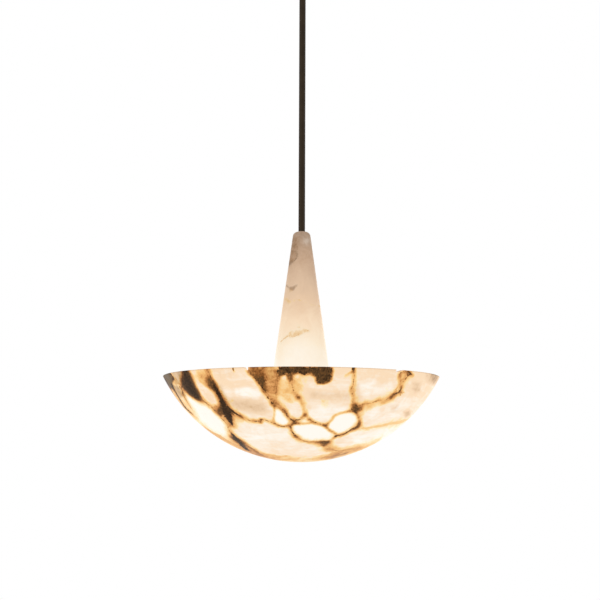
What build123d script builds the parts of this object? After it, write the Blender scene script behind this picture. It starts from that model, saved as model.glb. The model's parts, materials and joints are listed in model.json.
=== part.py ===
from build123d import *
from math import hypot, sqrt
import os

# A stone bowl pendant: a crossbar and canopy on the ceiling, a jointed swivel, two rods end to
# end, and a threaded stem that carries a stone cone, a cluster of four lamps and a stone bowl.
# Millimetres, +Z up. The origin is the centre of the crossbar's top face, on the ceiling.

# ---------------------------------------------------------------- driving dimensions
# Stone bowl
bowl_diameter = 509.0
bowl_depth = 154.0
bowl_wall = 10.0
bowl_base_thickness = 15.0
bowl_edge_radius = 0.8
bowl_hole_clearance = 1.2

# Stone cone
cone_height = 338.0
cone_foot_radius = 62.3
cone_top_radius = 15.9
cone_wall = 8.0
cone_top_thickness = 10.0
cone_shoulder_radius = 8.5
cone_edge_radius = 1.0
cone_top_land = 0.5
cone_hole_clearance = 0.5

# Rods, threaded tube and the nuts that run on it
rod_diameter = 12.7
rod_length = 305.0
rod_edge_chamfer = 0.3
rod_entry = 63.0
thread_radius = 4.8
thread_bore = 3.2
thread_clearance = 0.1
thread_engagement = 15.0
nut_across_flats = 14.0
nut_height = 3.5

# Ceiling crossbar and its earth screw
box_screw_spacing = 88.9
box_slot_width = 4.6
box_slot_length = 12.0
crossbar_length = 108.0
crossbar_width = 20.0
crossbar_thickness = 2.5
crossbar_boss_radius = 7.5
crossbar_boss_height = 3.5
earth_screw_offset = 20.0
earth_screw_radius = 1.9
earth_screw_head_flats = 7.0
earth_screw_head_height = 3.0

# Canopy
canopy_radius = 63.5
canopy_height = 25.0
canopy_wall = 1.2
canopy_shoulder_radius = 14.0
canopy_bead_radius = 1.2
canopy_ring_radius = 13.0
canopy_ring_height = 6.0
canopy_ring_groove = 1.0
nipple_end_gap = 2.0

# Swivel under the canopy
collar_radius = 10.0
collar_top_length = 7.0
collar_floor = 3.5
collar_chamfer = 1.0
yoke_head_radius = 6.9
yoke_head_height = 4.5
yoke_neck_radius = 4.9
yoke_radius = 9.5
yoke_shoulder_height = 5.7
yoke_ear_radius = 8.4
yoke_flat = 8.5
pivot_drop = 7.0
pin_radius = 2.5
pin_head_radius = 4.0
pin_head_height = 1.4
washer_thickness = 0.6
washer_radius = 5.5
tongue_half_thickness = 3.2
tongue_radius = 6.2
tongue_length = 10.0
tongue_collar_radius = 7.5
tongue_collar_height = 10.0
tongue_collar_fillet = 1.5
wire_port_radius = 2.4
turning_gap = 0.3
running_clearance = 0.05
side_clearance = 0.1

# Gallery that carries the cone
gasket_thickness = 2.0
gallery_thickness = 3.0
gallery_lip_height = 6.0
gallery_lip_thickness = 2.0
gallery_lip_clearance = 0.5
gallery_lip_edge_radius = 0.6
gallery_land = 12.0
gallery_hub_radius = 10.0
gallery_hub_height = 8.0
spoke_count = 3
spoke_width = 8.0
gallery_to_cluster = 17.5

# Lamp cluster
lamp_count = 4
lamp_first_angle = 45.0
lamp_tilt = 15.0
hub_radius = 23.0
hub_height = 28.0
hub_wall = 1.5
hub_top_wall = 2.0
hub_edge_radius = 2.0
hub_axis_height = 12.0
hub_boss_radius = 8.0
hub_boss_reach = 4.0
arm_inset = 6.0
arm_spare_thread = 1.0
cover_thickness = 2.0
cover_spigot_height = 2.0
cover_clearance = 0.3
cluster_to_bowl = 3.0

# Lampholders and lamps, measured along the lamp's own axis
holder_radius = 13.0
holder_length = 40.0
holder_back = 6.0
holder_bore = 8.2
holder_lip_radius = 14.2
holder_lip_height = 4.0
holder_edge_radius = 1.0
holder_nut_flats = 13.0
socket_shell_wall = 0.8
socket_shell_length = 25.0
lamp_base_radius = 6.9
lamp_base_length = 22.0
lamp_contact_radius = 3.0
lamp_contact_height = 2.0
lamp_neck_radius = 7.8
lamp_body_small_radius = 9.5
lamp_body_large_radius = 15.5
lamp_body_length = 20.0
lamp_globe_radius = 17.5
lamp_globe_wall = 1.0
lamp_seat_gap = 0.3

# Clamp at the bottom of the bowl
clamp_plate_radius = 28.0
clamp_plate_thickness = 2.5
clamp_gasket_radius = 30.0
lower_gasket_thickness = 1.5
cap_flange_radius = 14.5
cap_flange_thickness = 1.5
cap_body_radius = 9.0
cap_body_height = 3.6
cap_end_wall = 1.6
cap_edge_radius = 1.0
cap_flush_margin = 0.4
cap_recess_clearance = 1.0
cap_key_hole_radius = 1.0
cap_key_hole_offset = 6.4

# ---------------------------------------------------------------- sizes that follow
rod_radius = rod_diameter / 2
thread_hole = thread_radius + thread_clearance

# Heights, stacked from the ceiling down
ring_top = -canopy_height
collar_top = ring_top - canopy_ring_height
head_room = yoke_head_height + 2 * turning_gap
chamber_top = collar_top - collar_top_length
chamber_floor = chamber_top - head_room
collar_bottom = chamber_floor - collar_floor
yoke_top = collar_bottom - turning_gap
slot_top = yoke_top - yoke_shoulder_height
pivot_z = slot_top - pivot_drop
tongue_bottom = pivot_z - tongue_length
upper_rod_top = tongue_bottom - tongue_collar_height
rod_seam = upper_rod_top - rod_length
lower_rod_bottom = rod_seam - rod_length
cone_top = lower_rod_bottom + rod_entry
cone_foot = cone_top - cone_height
gallery_top = cone_foot - gasket_thickness
gallery_hub_bottom = gallery_top - gallery_hub_height
cluster_top = gallery_hub_bottom - nut_height - gallery_to_cluster - nut_height
cluster_bottom = cluster_top - hub_height
cover_bottom = cluster_bottom - cover_thickness
clamp_nut_top = cover_bottom - nut_height - cluster_to_bowl
clamp_plate_top = clamp_nut_top - nut_height
clamp_plate_bottom = clamp_plate_top - clamp_plate_thickness
bowl_floor = clamp_plate_bottom - gasket_thickness
bowl_bottom = bowl_floor - bowl_base_thickness
bowl_rim = bowl_bottom + bowl_depth
cap_bottom = bowl_bottom + cap_flush_margin
cap_flange_bottom = cap_bottom + cap_body_height
recess_top = cap_flange_bottom + cap_flange_thickness + lower_gasket_thickness
stem_bottom = cap_bottom + cap_end_wall + turning_gap
lamp_axis_z = cluster_bottom + hub_axis_height

# Stations along a lamp's axis, from the stem outwards
holder_start = hub_radius + hub_boss_reach
holder_floor = holder_start + holder_back
holder_nut_end = holder_floor + nut_height
arm_start = hub_radius - arm_inset
arm_end = holder_nut_end + arm_spare_thread
shell_start = arm_end + lamp_seat_gap
lamp_tip = shell_start + socket_shell_wall + lamp_seat_gap
lamp_neck_start = lamp_tip + lamp_contact_height + lamp_base_length
holder_end = holder_start + holder_length
lamp_body_start = holder_end + lamp_seat_gap
lamp_body_end = lamp_body_start + lamp_body_length

# The bowl's outer face is part of a sphere; its inner face is concentric with it
bowl_radius = bowl_diameter / 2
bowl_sphere = (bowl_radius**2 + bowl_depth**2) / (2 * bowl_depth)
bowl_centre_z = bowl_bottom + bowl_sphere
bowl_inner_sphere = bowl_sphere - bowl_wall
cone_slope = (cone_foot_radius - cone_top_radius) / cone_height
cone_wall_across = cone_wall * hypot(1, cone_slope)

# How far a cut runs past the face that it opens
cut_through = 1.0


# ---------------------------------------------------------------- shared shapes
def disc(radius, low, high):
    """A round plate or bar on the Z axis between two heights."""
    return Pos(0, 0, low) * extrude(Circle(radius), high - low)


def ring(outer, inner, low, high):
    """A round plate or tube with a hole through it."""
    return Pos(0, 0, low) * extrude(Circle(outer) - Circle(inner), high - low)


def turned(points):
    """A body turned about the Z axis from an outline of (radius, height) points."""
    outline = make_face(Polyline(*points, close=True))
    return revolve(Plane.XZ * outline, Axis.Z)


def threaded_tube(low, high):
    return ring(thread_radius, thread_bore, low, high)


def locknut(low, flats=nut_across_flats):
    hexagon = RegularPolygon(flats / 2, 6, major_radius=False) - Circle(thread_hole)
    return Pos(0, 0, low) * extrude(hexagon, nut_height)


def circles_at(part, height):
    """The round edges of a part that lie at one height."""
    rounds = part.edges().filter_by(GeomType.CIRCLE)
    return [edge for edge in rounds if abs(edge.center().Z - height) < 1e-3]


def lamp_place(index):
    """Turns a piece made along Z from the origin onto the axis of one lamp."""
    angle = lamp_first_angle + index * 360 / lamp_count
    return Pos(0, 0, lamp_axis_z) * Rot(0, 0, angle) * Rot(0, 90 - lamp_tilt, 0)


def bowl_inner_height(radius):
    return bowl_centre_z - sqrt(bowl_inner_sphere**2 - radius**2)


# ---------------------------------------------------------------- ceiling
def make_crossbar():
    """A strap with round ends: two slots for the ceiling box, a tapped boss and an earth tapping."""
    flat = SlotOverall(crossbar_length, crossbar_width)
    for side in (-1, 1):
        flat -= Pos(side * box_screw_spacing / 2, 0) * SlotOverall(box_slot_length, box_slot_width)
    strap = Pos(0, 0, -crossbar_thickness) * extrude(flat, crossbar_thickness)
    boss_bottom = -crossbar_thickness - crossbar_boss_height
    strap += disc(crossbar_boss_radius, boss_bottom, -crossbar_thickness)
    strap -= disc(thread_hole, boss_bottom, 0)
    tapping = disc(earth_screw_radius + thread_clearance, -crossbar_thickness, 0)
    return strap - Pos(earth_screw_offset, 0, 0) * tapping


def make_earth_screw():
    head_bottom = -crossbar_thickness - earth_screw_head_height
    head = extrude(RegularPolygon(earth_screw_head_flats / 2, 6, major_radius=False), earth_screw_head_height)
    screw = Pos(0, 0, head_bottom) * head + disc(earth_screw_radius, -crossbar_thickness, 0)
    return Pos(earth_screw_offset, 0, 0) * screw


def make_canopy():
    """A spun dish: a plain band, a round shoulder and a flat face with the stem's hole."""
    dish = disc(canopy_radius, -canopy_height, 0)
    dish = fillet(circles_at(dish, -canopy_height), canopy_shoulder_radius)
    dish = offset(dish, amount=-canopy_wall, openings=dish.faces().sort_by(Axis.Z)[-1])
    bead = Pos(canopy_radius, -canopy_bead_radius) * Circle(canopy_bead_radius)
    bead -= Pos(canopy_radius - canopy_wall - canopy_bead_radius, 0) * Rectangle(
        2 * canopy_bead_radius, 4 * canopy_bead_radius
    )
    dish += revolve(Plane.XZ * bead, Axis.Z)
    return dish - disc(thread_hole + thread_clearance, -canopy_height, 0)


def make_canopy_ring():
    """The ring nut under the canopy, with a finger groove round its edge."""
    groove = canopy_ring_height / 3
    top = ring_top
    bottom = ring_top - canopy_ring_height
    nut = ring(canopy_ring_radius, thread_hole, bottom, top)
    groove_floor = canopy_ring_radius - canopy_ring_groove
    return nut - ring(canopy_ring_radius + cut_through, groove_floor, top - 2 * groove, top - groove)


# ---------------------------------------------------------------- swivel
def make_swivel_collar():
    """A cup screwed on the nipple. The yoke's head turns on its floor."""
    cup = disc(collar_radius, collar_bottom, collar_top)
    cup = chamfer(circles_at(cup, collar_bottom), collar_chamfer)
    cup -= disc(thread_hole, chamber_top, collar_top)
    cup -= disc(yoke_head_radius + turning_gap, chamber_floor, chamber_top)
    return cup - disc(yoke_neck_radius + running_clearance, collar_bottom, chamber_floor)


def make_swivel_yoke():
    """A headed, hollow neck over two ears that hold the hinge pin."""
    head_bottom = chamber_floor + turning_gap
    yoke = disc(yoke_head_radius, head_bottom, head_bottom + yoke_head_height)
    yoke += disc(yoke_neck_radius, yoke_top, head_bottom)
    side_view = Pos(0, (slot_top + yoke_top) / 2) * Rectangle(2 * yoke_radius, yoke_shoulder_height)
    side_view += Pos(0, (slot_top + pivot_z) / 2) * Rectangle(2 * yoke_ear_radius, pivot_drop)
    side_view += Pos(0, pivot_z) * Circle(yoke_ear_radius)
    fork = extrude(Plane.XZ * side_view, yoke_radius, both=True)
    fork &= disc(yoke_radius, pivot_z - 2 * yoke_ear_radius, yoke_top)
    slot_half = tongue_half_thickness + side_clearance + washer_thickness
    slot_height = pivot_drop + 2 * yoke_ear_radius
    fork -= Pos(0, 0, slot_top - slot_height / 2) * Box(4 * yoke_radius, 2 * slot_half, slot_height)
    cheek = yoke_radius - yoke_flat + cut_through
    for side in (-1, 1):
        fork -= Pos(0, side * (yoke_flat + cheek / 2), slot_top - slot_height / 2) * Box(
            4 * yoke_radius, cheek, slot_height
        )
    yoke += fork
    yoke -= disc(thread_bore, slot_top, head_bottom + yoke_head_height)
    return yoke - cross_bar(pin_radius + running_clearance / 2, 2 * yoke_radius)


def cross_bar(radius, length):
    """A round bar along Y through the swivel's pivot."""
    return Pos(0, 0, pivot_z) * Rot(90, 0, 0) * Cylinder(radius, length)


def make_swivel_pin():
    pin = cross_bar(pin_radius, 2 * yoke_flat)
    for side in (-1, 1):
        pin += Pos(0, side * (yoke_flat + pin_head_height / 2), 0) * cross_bar(
            pin_head_radius, pin_head_height
        )
    return pin


def make_swivel_washers():
    """Two thin washers that keep the tongue off the ears."""
    washer = cross_bar(washer_radius, washer_thickness)
    washer -= cross_bar(pin_radius + running_clearance, washer_thickness)
    seat = tongue_half_thickness + side_clearance + washer_thickness / 2
    return [Pos(0, side * seat, 0) * washer for side in (-1, 1)]


def make_swivel_tongue():
    """A flat tongue on the hinge pin over a round collar and the stub that enters the rod."""
    blade = Pos(0, pivot_z) * Circle(tongue_radius)
    blade += Pos(0, pivot_z - tongue_length / 2) * Rectangle(2 * tongue_radius, tongue_length)
    tongue = extrude(Plane.XZ * blade, tongue_half_thickness, both=True)
    body = disc(tongue_collar_radius, upper_rod_top, tongue_bottom)
    body = fillet(circles_at(body, tongue_bottom), tongue_collar_fillet)
    tongue += body
    tongue += disc(thread_radius, upper_rod_top - thread_engagement, upper_rod_top)
    port_z = tongue_bottom - tongue_collar_height / 2
    tongue -= disc(thread_bore, upper_rod_top - thread_engagement, port_z)
    port = disc(wire_port_radius, 0, tongue_collar_radius + cut_through)
    tongue -= Pos(0, 0, port_z) * Rot(0, 90, 0) * port
    return tongue - cross_bar(pin_radius + running_clearance, 2 * yoke_radius)


# ---------------------------------------------------------------- rods and stem
def make_rod(top):
    tube = ring(rod_radius, thread_hole, top - rod_length, top)
    ends = circles_at(tube, top) + circles_at(tube, top - rod_length)
    return chamfer([edge for edge in ends if edge.radius > thread_hole + rod_edge_chamfer], rod_edge_chamfer)


# ---------------------------------------------------------------- cone and its gallery
def make_cone():
    """A straight taper, hollow, with a rounded top that closes round the rod."""
    hole = rod_radius + cone_hole_clearance
    inner_top = cone_top - cone_top_thickness
    inner_top_radius = cone_top_radius + cone_slope * cone_top_thickness - cone_wall_across
    inner_foot_radius = cone_foot_radius - cone_wall_across
    cone = turned(
        [
            (hole, cone_top),
            (cone_top_radius, cone_top),
            (cone_foot_radius, cone_foot),
            (inner_foot_radius, cone_foot),
            (inner_top_radius, inner_top),
            (hole, inner_top),
        ]
    )
    shoulder = [edge for edge in circles_at(cone, cone_top) if edge.radius > hole + cone_top_land]
    cone = fillet(shoulder, min(cone_shoulder_radius, cone_top_radius - hole - cone_top_land))
    return fillet(circles_at(cone, cone_foot), cone_edge_radius)


def make_cone_gasket():
    outer = cone_foot_radius - cone_edge_radius
    return ring(outer, cone_foot_radius - cone_wall_across, gallery_top, cone_foot)


def make_gallery():
    """A spoked ring: its lip stands round the cone's foot and light passes between its spokes."""
    lip_inner = cone_foot_radius + gallery_lip_clearance
    lip_outer = lip_inner + gallery_lip_thickness
    land_inner = lip_outer - gallery_land
    bottom = gallery_top - gallery_thickness
    gallery = ring(lip_outer, land_inner, bottom, gallery_top)
    gallery += ring(lip_outer, lip_inner, gallery_top, gallery_top + gallery_lip_height)
    for index in range(spoke_count):
        reach = land_inner + cut_through
        spoke = Pos(reach / 2, 0, bottom + gallery_thickness / 2) * Box(reach, spoke_width, gallery_thickness)
        gallery += Rot(0, 0, 90 + index * 360 / spoke_count) * spoke
    gallery += disc(gallery_hub_radius, gallery_hub_bottom, gallery_top)
    gallery = fillet(circles_at(gallery, gallery_top + gallery_lip_height), gallery_lip_edge_radius)
    return gallery - disc(thread_hole, gallery_hub_bottom, gallery_top)


# ---------------------------------------------------------------- lamp cluster
def make_cluster_body():
    """A cup, open below, with a tilted boss for each lamp."""
    body = disc(hub_radius, cluster_bottom, cluster_top)
    body = fillet(circles_at(body, cluster_top), hub_edge_radius)
    for index in range(lamp_count):
        body += lamp_place(index) * disc(hub_boss_radius, hub_radius / 2, holder_start)
    body -= disc(hub_radius - hub_wall, cluster_bottom, cluster_top - hub_top_wall)
    body -= disc(thread_hole, cluster_bottom, cluster_top)
    for index in range(lamp_count):
        body -= lamp_place(index) * disc(thread_hole, hub_radius / 2, holder_start)
    return body


def make_cluster_cover():
    cover = disc(hub_radius, cover_bottom, cluster_bottom)
    spigot_outer = hub_radius - hub_wall - cover_clearance
    cover += ring(spigot_outer, spigot_outer - hub_wall, cluster_bottom, cluster_bottom + cover_spigot_height)
    return cover - disc(thread_hole, cover_bottom, cluster_bottom)


def make_lampholder():
    """A ceramic cup with a lip at its mouth and a hole in its back for the arm."""
    holder = disc(holder_radius, holder_start, holder_end)
    holder += disc(holder_lip_radius, holder_end - holder_lip_height, holder_end)
    holder = fillet(circles_at(holder, holder_start) + circles_at(holder, holder_end), holder_edge_radius)
    holder -= disc(thread_hole, holder_start, holder_floor)
    return holder - disc(holder_bore, holder_floor, holder_end)


def make_socket_shell():
    outer = holder_bore - thread_clearance
    shell = disc(outer, shell_start, shell_start + socket_shell_length)
    cavity = shell_start + socket_shell_wall
    return shell - disc(outer - socket_shell_wall, cavity, shell_start + socket_shell_length)


def make_lamp_base():
    """The metal screw base, with its contact at the tip."""
    shoulder = lamp_tip + lamp_contact_height
    return turned(
        [
            (0, lamp_tip),
            (lamp_contact_radius, lamp_tip),
            (lamp_base_radius, shoulder),
            (lamp_base_radius, lamp_neck_start),
            (0, lamp_neck_start),
        ]
    )


def make_lamp_body():
    """The white housing that widens from the neck to the globe."""
    return turned(
        [
            (0, lamp_neck_start),
            (lamp_neck_radius, lamp_neck_start),
            (lamp_neck_radius, lamp_body_start),
            (lamp_body_small_radius, lamp_body_start),
            (lamp_body_large_radius, lamp_body_end),
            (0, lamp_body_end),
        ]
    )


def make_lamp_globe():
    """A frosted globe, open where it meets the housing."""
    centre = lamp_body_end + sqrt(lamp_globe_radius**2 - lamp_body_large_radius**2)
    globe = Pos(0, 0, centre) * (Sphere(lamp_globe_radius) - Sphere(lamp_globe_radius - lamp_globe_wall))
    low = centre - lamp_globe_radius - cut_through
    return globe - disc(lamp_globe_radius + cut_through, low, lamp_body_end)


# ---------------------------------------------------------------- bowl and its clamp
def make_bowl():
    """Part of a sphere with a flat floor inside, a flat rim and a recess for the cap nut."""
    rim_inner = sqrt(bowl_inner_sphere**2 - (bowl_centre_z - bowl_rim) ** 2)
    floor_radius = sqrt(bowl_inner_sphere**2 - (bowl_centre_z - bowl_floor) ** 2)
    outer_mid = sphere_point(bowl_sphere, 0.5)
    inner_mid_radius = (rim_inner + floor_radius) / 2
    outline = Line((0, bowl_floor), (0, bowl_bottom))
    outline += ThreePointArc((0, bowl_bottom), outer_mid, (bowl_radius, bowl_rim))
    outline += Line((bowl_radius, bowl_rim), (rim_inner, bowl_rim))
    outline += ThreePointArc(
        (rim_inner, bowl_rim),
        (inner_mid_radius, bowl_inner_height(inner_mid_radius)),
        (floor_radius, bowl_floor),
    )
    outline += Line((floor_radius, bowl_floor), (0, bowl_floor))
    bowl = revolve(Plane.XZ * make_face(outline), Axis.Z)
    bowl = fillet(circles_at(bowl, bowl_rim), bowl_edge_radius)
    bowl -= disc(thread_radius + bowl_hole_clearance, bowl_bottom, bowl_floor)
    return bowl - disc(cap_flange_radius + cap_recess_clearance, bowl_bottom - cut_through, recess_top)


def sphere_point(sphere, share):
    """A point of the bowl's outer arc, at a share of the rim's radius."""
    radius = share * bowl_radius
    return (radius, bowl_centre_z - sqrt(sphere**2 - radius**2))


def make_cap_nut():
    """A flanged, closed nut that lies in the recess, with two holes for a pin key."""
    nut = disc(cap_flange_radius, cap_flange_bottom, cap_flange_bottom + cap_flange_thickness)
    body = disc(cap_body_radius, cap_bottom, cap_flange_bottom)
    nut += fillet(circles_at(body, cap_bottom), cap_edge_radius)
    nut -= disc(thread_hole, cap_bottom + cap_end_wall, cap_flange_bottom + cap_flange_thickness)
    for side in (-1, 1):
        key_hole = disc(cap_key_hole_radius, cap_bottom, cap_bottom + cap_end_wall)
        nut -= Pos(side * cap_key_hole_offset, 0, 0) * key_hole
    return nut


# ---------------------------------------------------------------- every piece, by name
nodes = {
    "crossbar": make_crossbar(),
    "earth_screw": make_earth_screw(),
    "ceiling_nipple": threaded_tube(chamber_top + nipple_end_gap, 0),
    "crossbar_locknut": locknut(-crossbar_thickness - crossbar_boss_height - nut_height),
    "canopy": make_canopy(),
    "canopy_ring": make_canopy_ring(),
    "swivel_collar": make_swivel_collar(),
    "swivel_yoke": make_swivel_yoke(),
    "swivel_pin": make_swivel_pin(),
    "swivel_washers": make_swivel_washers(),
    "swivel_tongue": make_swivel_tongue(),
    "upper_rod": make_rod(upper_rod_top),
    "rod_joiner": threaded_tube(rod_seam - thread_engagement, rod_seam + thread_engagement),
    "lower_rod": make_rod(rod_seam),
    "centre_stem": threaded_tube(stem_bottom, lower_rod_bottom + thread_engagement),
    "rod_locknut": locknut(lower_rod_bottom - nut_height),
    "stone_cone": make_cone(),
    "cone_gasket": make_cone_gasket(),
    "cone_gallery": make_gallery(),
    "gallery_locknuts": [locknut(gallery_top), locknut(gallery_hub_bottom - nut_height)],
    "cluster_body": make_cluster_body(),
    "cluster_cover": make_cluster_cover(),
    "cluster_locknuts": [locknut(cluster_top), locknut(cover_bottom - nut_height)],
    "clamp_locknut": locknut(clamp_plate_top),
    "clamp_plate": ring(clamp_plate_radius, thread_hole, clamp_plate_bottom, clamp_plate_top),
    "bowl_inner_gasket": ring(clamp_gasket_radius, thread_hole, bowl_floor, clamp_plate_bottom),
    "stone_bowl": make_bowl(),
    "bowl_outer_gasket": ring(
        cap_flange_radius, thread_hole, recess_top - lower_gasket_thickness, recess_top
    ),
    "cap_nut": make_cap_nut(),
}

lamp_pieces = {
    "lamp_arm": threaded_tube(arm_start, arm_end),
    "lampholder": make_lampholder(),
    "holder_locknut": locknut(holder_floor, holder_nut_flats),
    "socket_shell": make_socket_shell(),
    "lamp_base": make_lamp_base(),
    "lamp_body": make_lamp_body(),
    "lamp_globe": make_lamp_globe(),
}
for index in range(lamp_count):
    for name, piece in lamp_pieces.items():
        nodes[f"{name}_{index + 1}"] = lamp_place(index) * piece

os.makedirs("parts", exist_ok=True)
for name, piece in nodes.items():
    solids = piece if isinstance(piece, list) else [piece]
    export_step(Compound([solid for part in solids for solid in part.solids()]), f"parts/{name}.step")

print(f"rim {bowl_rim:.1f}  bowl bottom {bowl_bottom:.1f}  cone top {cone_top:.1f}  foot {cone_foot:.1f}")
print(f"sphere radius {bowl_sphere:.2f}  pivot {pivot_z:.2f}  nodes {len(nodes)}")
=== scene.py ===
# %% [markdown]
# # A stone bowl pendant, lit from inside
# This lesson dresses a finished metal and stone pendant so that it looks as it does when its lamps
# are on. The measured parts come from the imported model. They never move here. What this lesson adds
# is the stone itself, with its veins and its glow, and a finish for every other part.

# %% The measured parts
import json
import math
from random import Random

import bmesh
import bpy
import numpy as np
from mathutils import Matrix, Vector


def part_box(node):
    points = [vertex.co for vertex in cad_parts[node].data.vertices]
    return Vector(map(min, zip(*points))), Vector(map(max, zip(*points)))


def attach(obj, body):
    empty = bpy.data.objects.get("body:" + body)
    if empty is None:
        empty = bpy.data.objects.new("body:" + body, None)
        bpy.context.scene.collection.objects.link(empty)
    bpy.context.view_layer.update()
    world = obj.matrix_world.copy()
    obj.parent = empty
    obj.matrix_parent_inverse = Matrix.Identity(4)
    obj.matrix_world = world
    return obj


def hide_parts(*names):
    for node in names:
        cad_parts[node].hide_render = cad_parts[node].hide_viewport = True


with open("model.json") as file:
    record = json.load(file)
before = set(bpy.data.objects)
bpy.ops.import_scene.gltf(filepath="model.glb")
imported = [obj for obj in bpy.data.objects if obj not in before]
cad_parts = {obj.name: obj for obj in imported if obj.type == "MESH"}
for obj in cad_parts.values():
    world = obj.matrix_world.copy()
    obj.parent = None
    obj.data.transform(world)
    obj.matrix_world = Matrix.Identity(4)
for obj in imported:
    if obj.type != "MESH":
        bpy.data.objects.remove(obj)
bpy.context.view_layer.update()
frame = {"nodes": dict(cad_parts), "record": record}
MM = 0.001

# %% [markdown]
# ## The camera
# The view comes first, because the veins are placed by looking through it. It stands a little below
# the rim and looks slightly up, so the bowl shows its outside and the cone stands behind the rim.
# A lens of about 51 mm on a 36 mm sensor gives the flat, calm perspective of a catalogue picture.

# %% The camera
PICTURE = 600
LENS = 51.5
SENSOR = 36.0
CAMERA_PLACE = Vector((-0.0028, -1.600, -1.0180))
CAMERA_PITCH = math.radians(9.24)
CAMERA_ROLL = math.radians(0.22)

camera_data = bpy.data.cameras.new("camera")
camera_data.lens = LENS
camera_data.sensor_width = SENSOR
camera = bpy.data.objects.new("camera", camera_data)
bpy.context.scene.collection.objects.link(camera)
look = Matrix.Rotation(math.pi / 2 + CAMERA_PITCH, 4, "X") @ Matrix.Rotation(CAMERA_ROLL, 4, "Z")
camera.matrix_world = Matrix.Translation(CAMERA_PLACE) @ look
bpy.context.scene.camera = camera
bpy.context.scene.view_settings.view_transform = "Standard"


def sight(x, y):
    """The direction in which the camera sees a point of the picture, in picture pixels."""
    pixel = SENSOR / PICTURE
    ray = Vector(((x - PICTURE / 2) * pixel, (PICTURE / 2 - y) * pixel, -LENS))
    return (look.to_3x3() @ ray).normalized()


print("camera looks along", [round(c, 3) for c in sight(PICTURE / 2, PICTURE / 2)])

# %% [markdown]
# ## The sizes of the stone
# The bowl is part of a sphere with a flat floor, and the cone is a straight taper with a rounded
# top. Both are read from the measured parts where a box can give them. The sphere's radius and the
# walls are sizes that a box can't give, so they are named here. The bowl's edge is eased a little
# more than the measured one, which keeps its dense mesh inside the measured size.

# %% The sizes of the stone
BOWL_SPHERE = 287.29 * MM
BOWL_DEPTH = 154.0 * MM
BOWL_WALL = 10.0 * MM
BOWL_FLOOR = 15.0 * MM
BOWL_EDGE = 1.3 * MM
STEM_HOLE = 6.0 * MM
NUT_RECESS = 15.5 * MM

rim_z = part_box("stone_bowl")[1].z
pole_z = rim_z - BOWL_DEPTH
bowl_centre = Vector((0, 0, pole_z + BOWL_SPHERE))
rim_radius = math.sqrt(BOWL_SPHERE**2 - (bowl_centre.z - rim_z) ** 2)
recess_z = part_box("bowl_outer_gasket")[1].z

CONE_WALL = 8.0 * MM
CONE_TOP_WALL = 10.0 * MM
CONE_SHOULDER = 8.5 * MM
CONE_EDGE = 1.0 * MM
CONE_TOP_RADIUS = 15.9 * MM
CONE_FOOT_RADIUS = 62.3 * MM
CONE_HOLE = 6.85 * MM

cone_low, cone_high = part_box("stone_cone")
cone_foot_z = cone_low.z
cone_top_z = cone_high.z
cone_slope = (CONE_FOOT_RADIUS - CONE_TOP_RADIUS) / (cone_top_z - cone_foot_z)
print(f"rim {rim_radius:.4f} m at {rim_z:.4f}, cone {cone_top_z:.4f} to {cone_foot_z:.4f}")

# %% [markdown]
# ## Where a point of the picture lies on the stone
# A vein is easiest to choose in the picture, but it has to lie on the stone. A straight line from
# the camera through the picture meets the sphere at a point found with the usual quadratic. The cone
# has a different radius at each height, so its point is found in a few steps that close in on it. A
# line that just misses the stone takes a point on its outline instead.


# %% Where a point of the picture lies on the stone
CLOSER_STEPS = 12
SIDE_LIMIT = 0.999


def on_bowl(x, y):
    """The point of the bowl's outside that is seen at a point of the picture."""
    ray = sight(x, y)
    to_eye = CAMERA_PLACE - bowl_centre
    half = to_eye.dot(ray)
    inside = half**2 - to_eye.length_squared + BOWL_SPHERE**2
    point = to_eye + ray * (-half - math.sqrt(max(inside, 0)))
    point = point.normalized() * BOWL_SPHERE
    point.z = min(point.z, rim_z - bowl_centre.z)
    flat = Vector((point.x, point.y, 0)).normalized()
    return bowl_centre + flat * math.sqrt(BOWL_SPHERE**2 - point.z**2) + Vector((0, 0, point.z))


def on_cone(x, y):
    """The point of the cone's outside that is seen at a point of the picture."""
    ray = sight(x, y)
    travel = -CAMERA_PLACE.y / ray.y
    for _ in range(CLOSER_STEPS):
        point = CAMERA_PLACE + ray * travel
        radius = CONE_TOP_RADIUS + cone_slope * (cone_top_z - point.z)
        side = min(abs(point.x), radius * SIDE_LIMIT)
        travel = (-CAMERA_PLACE.y - math.sqrt(radius**2 - side**2)) / ray.y
    return CAMERA_PLACE + ray * travel


print("front of the rim", [round(c, 4) for c in on_bowl(300, 367)])

# %% [markdown]
# ## The veins, as they run
# Each vein is a run of points: x and y in the picture, and the vein's width there, also in picture
# pixels. Before them stand the tone, the halo and the halo's strength. The tone says how dark the vein
# is: 1 is nearly black brown, 0.6 is rust and 0.3 is a faint warm line. The halo is how far its rust
# colour soaks into the stone, in picture pixels.

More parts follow.
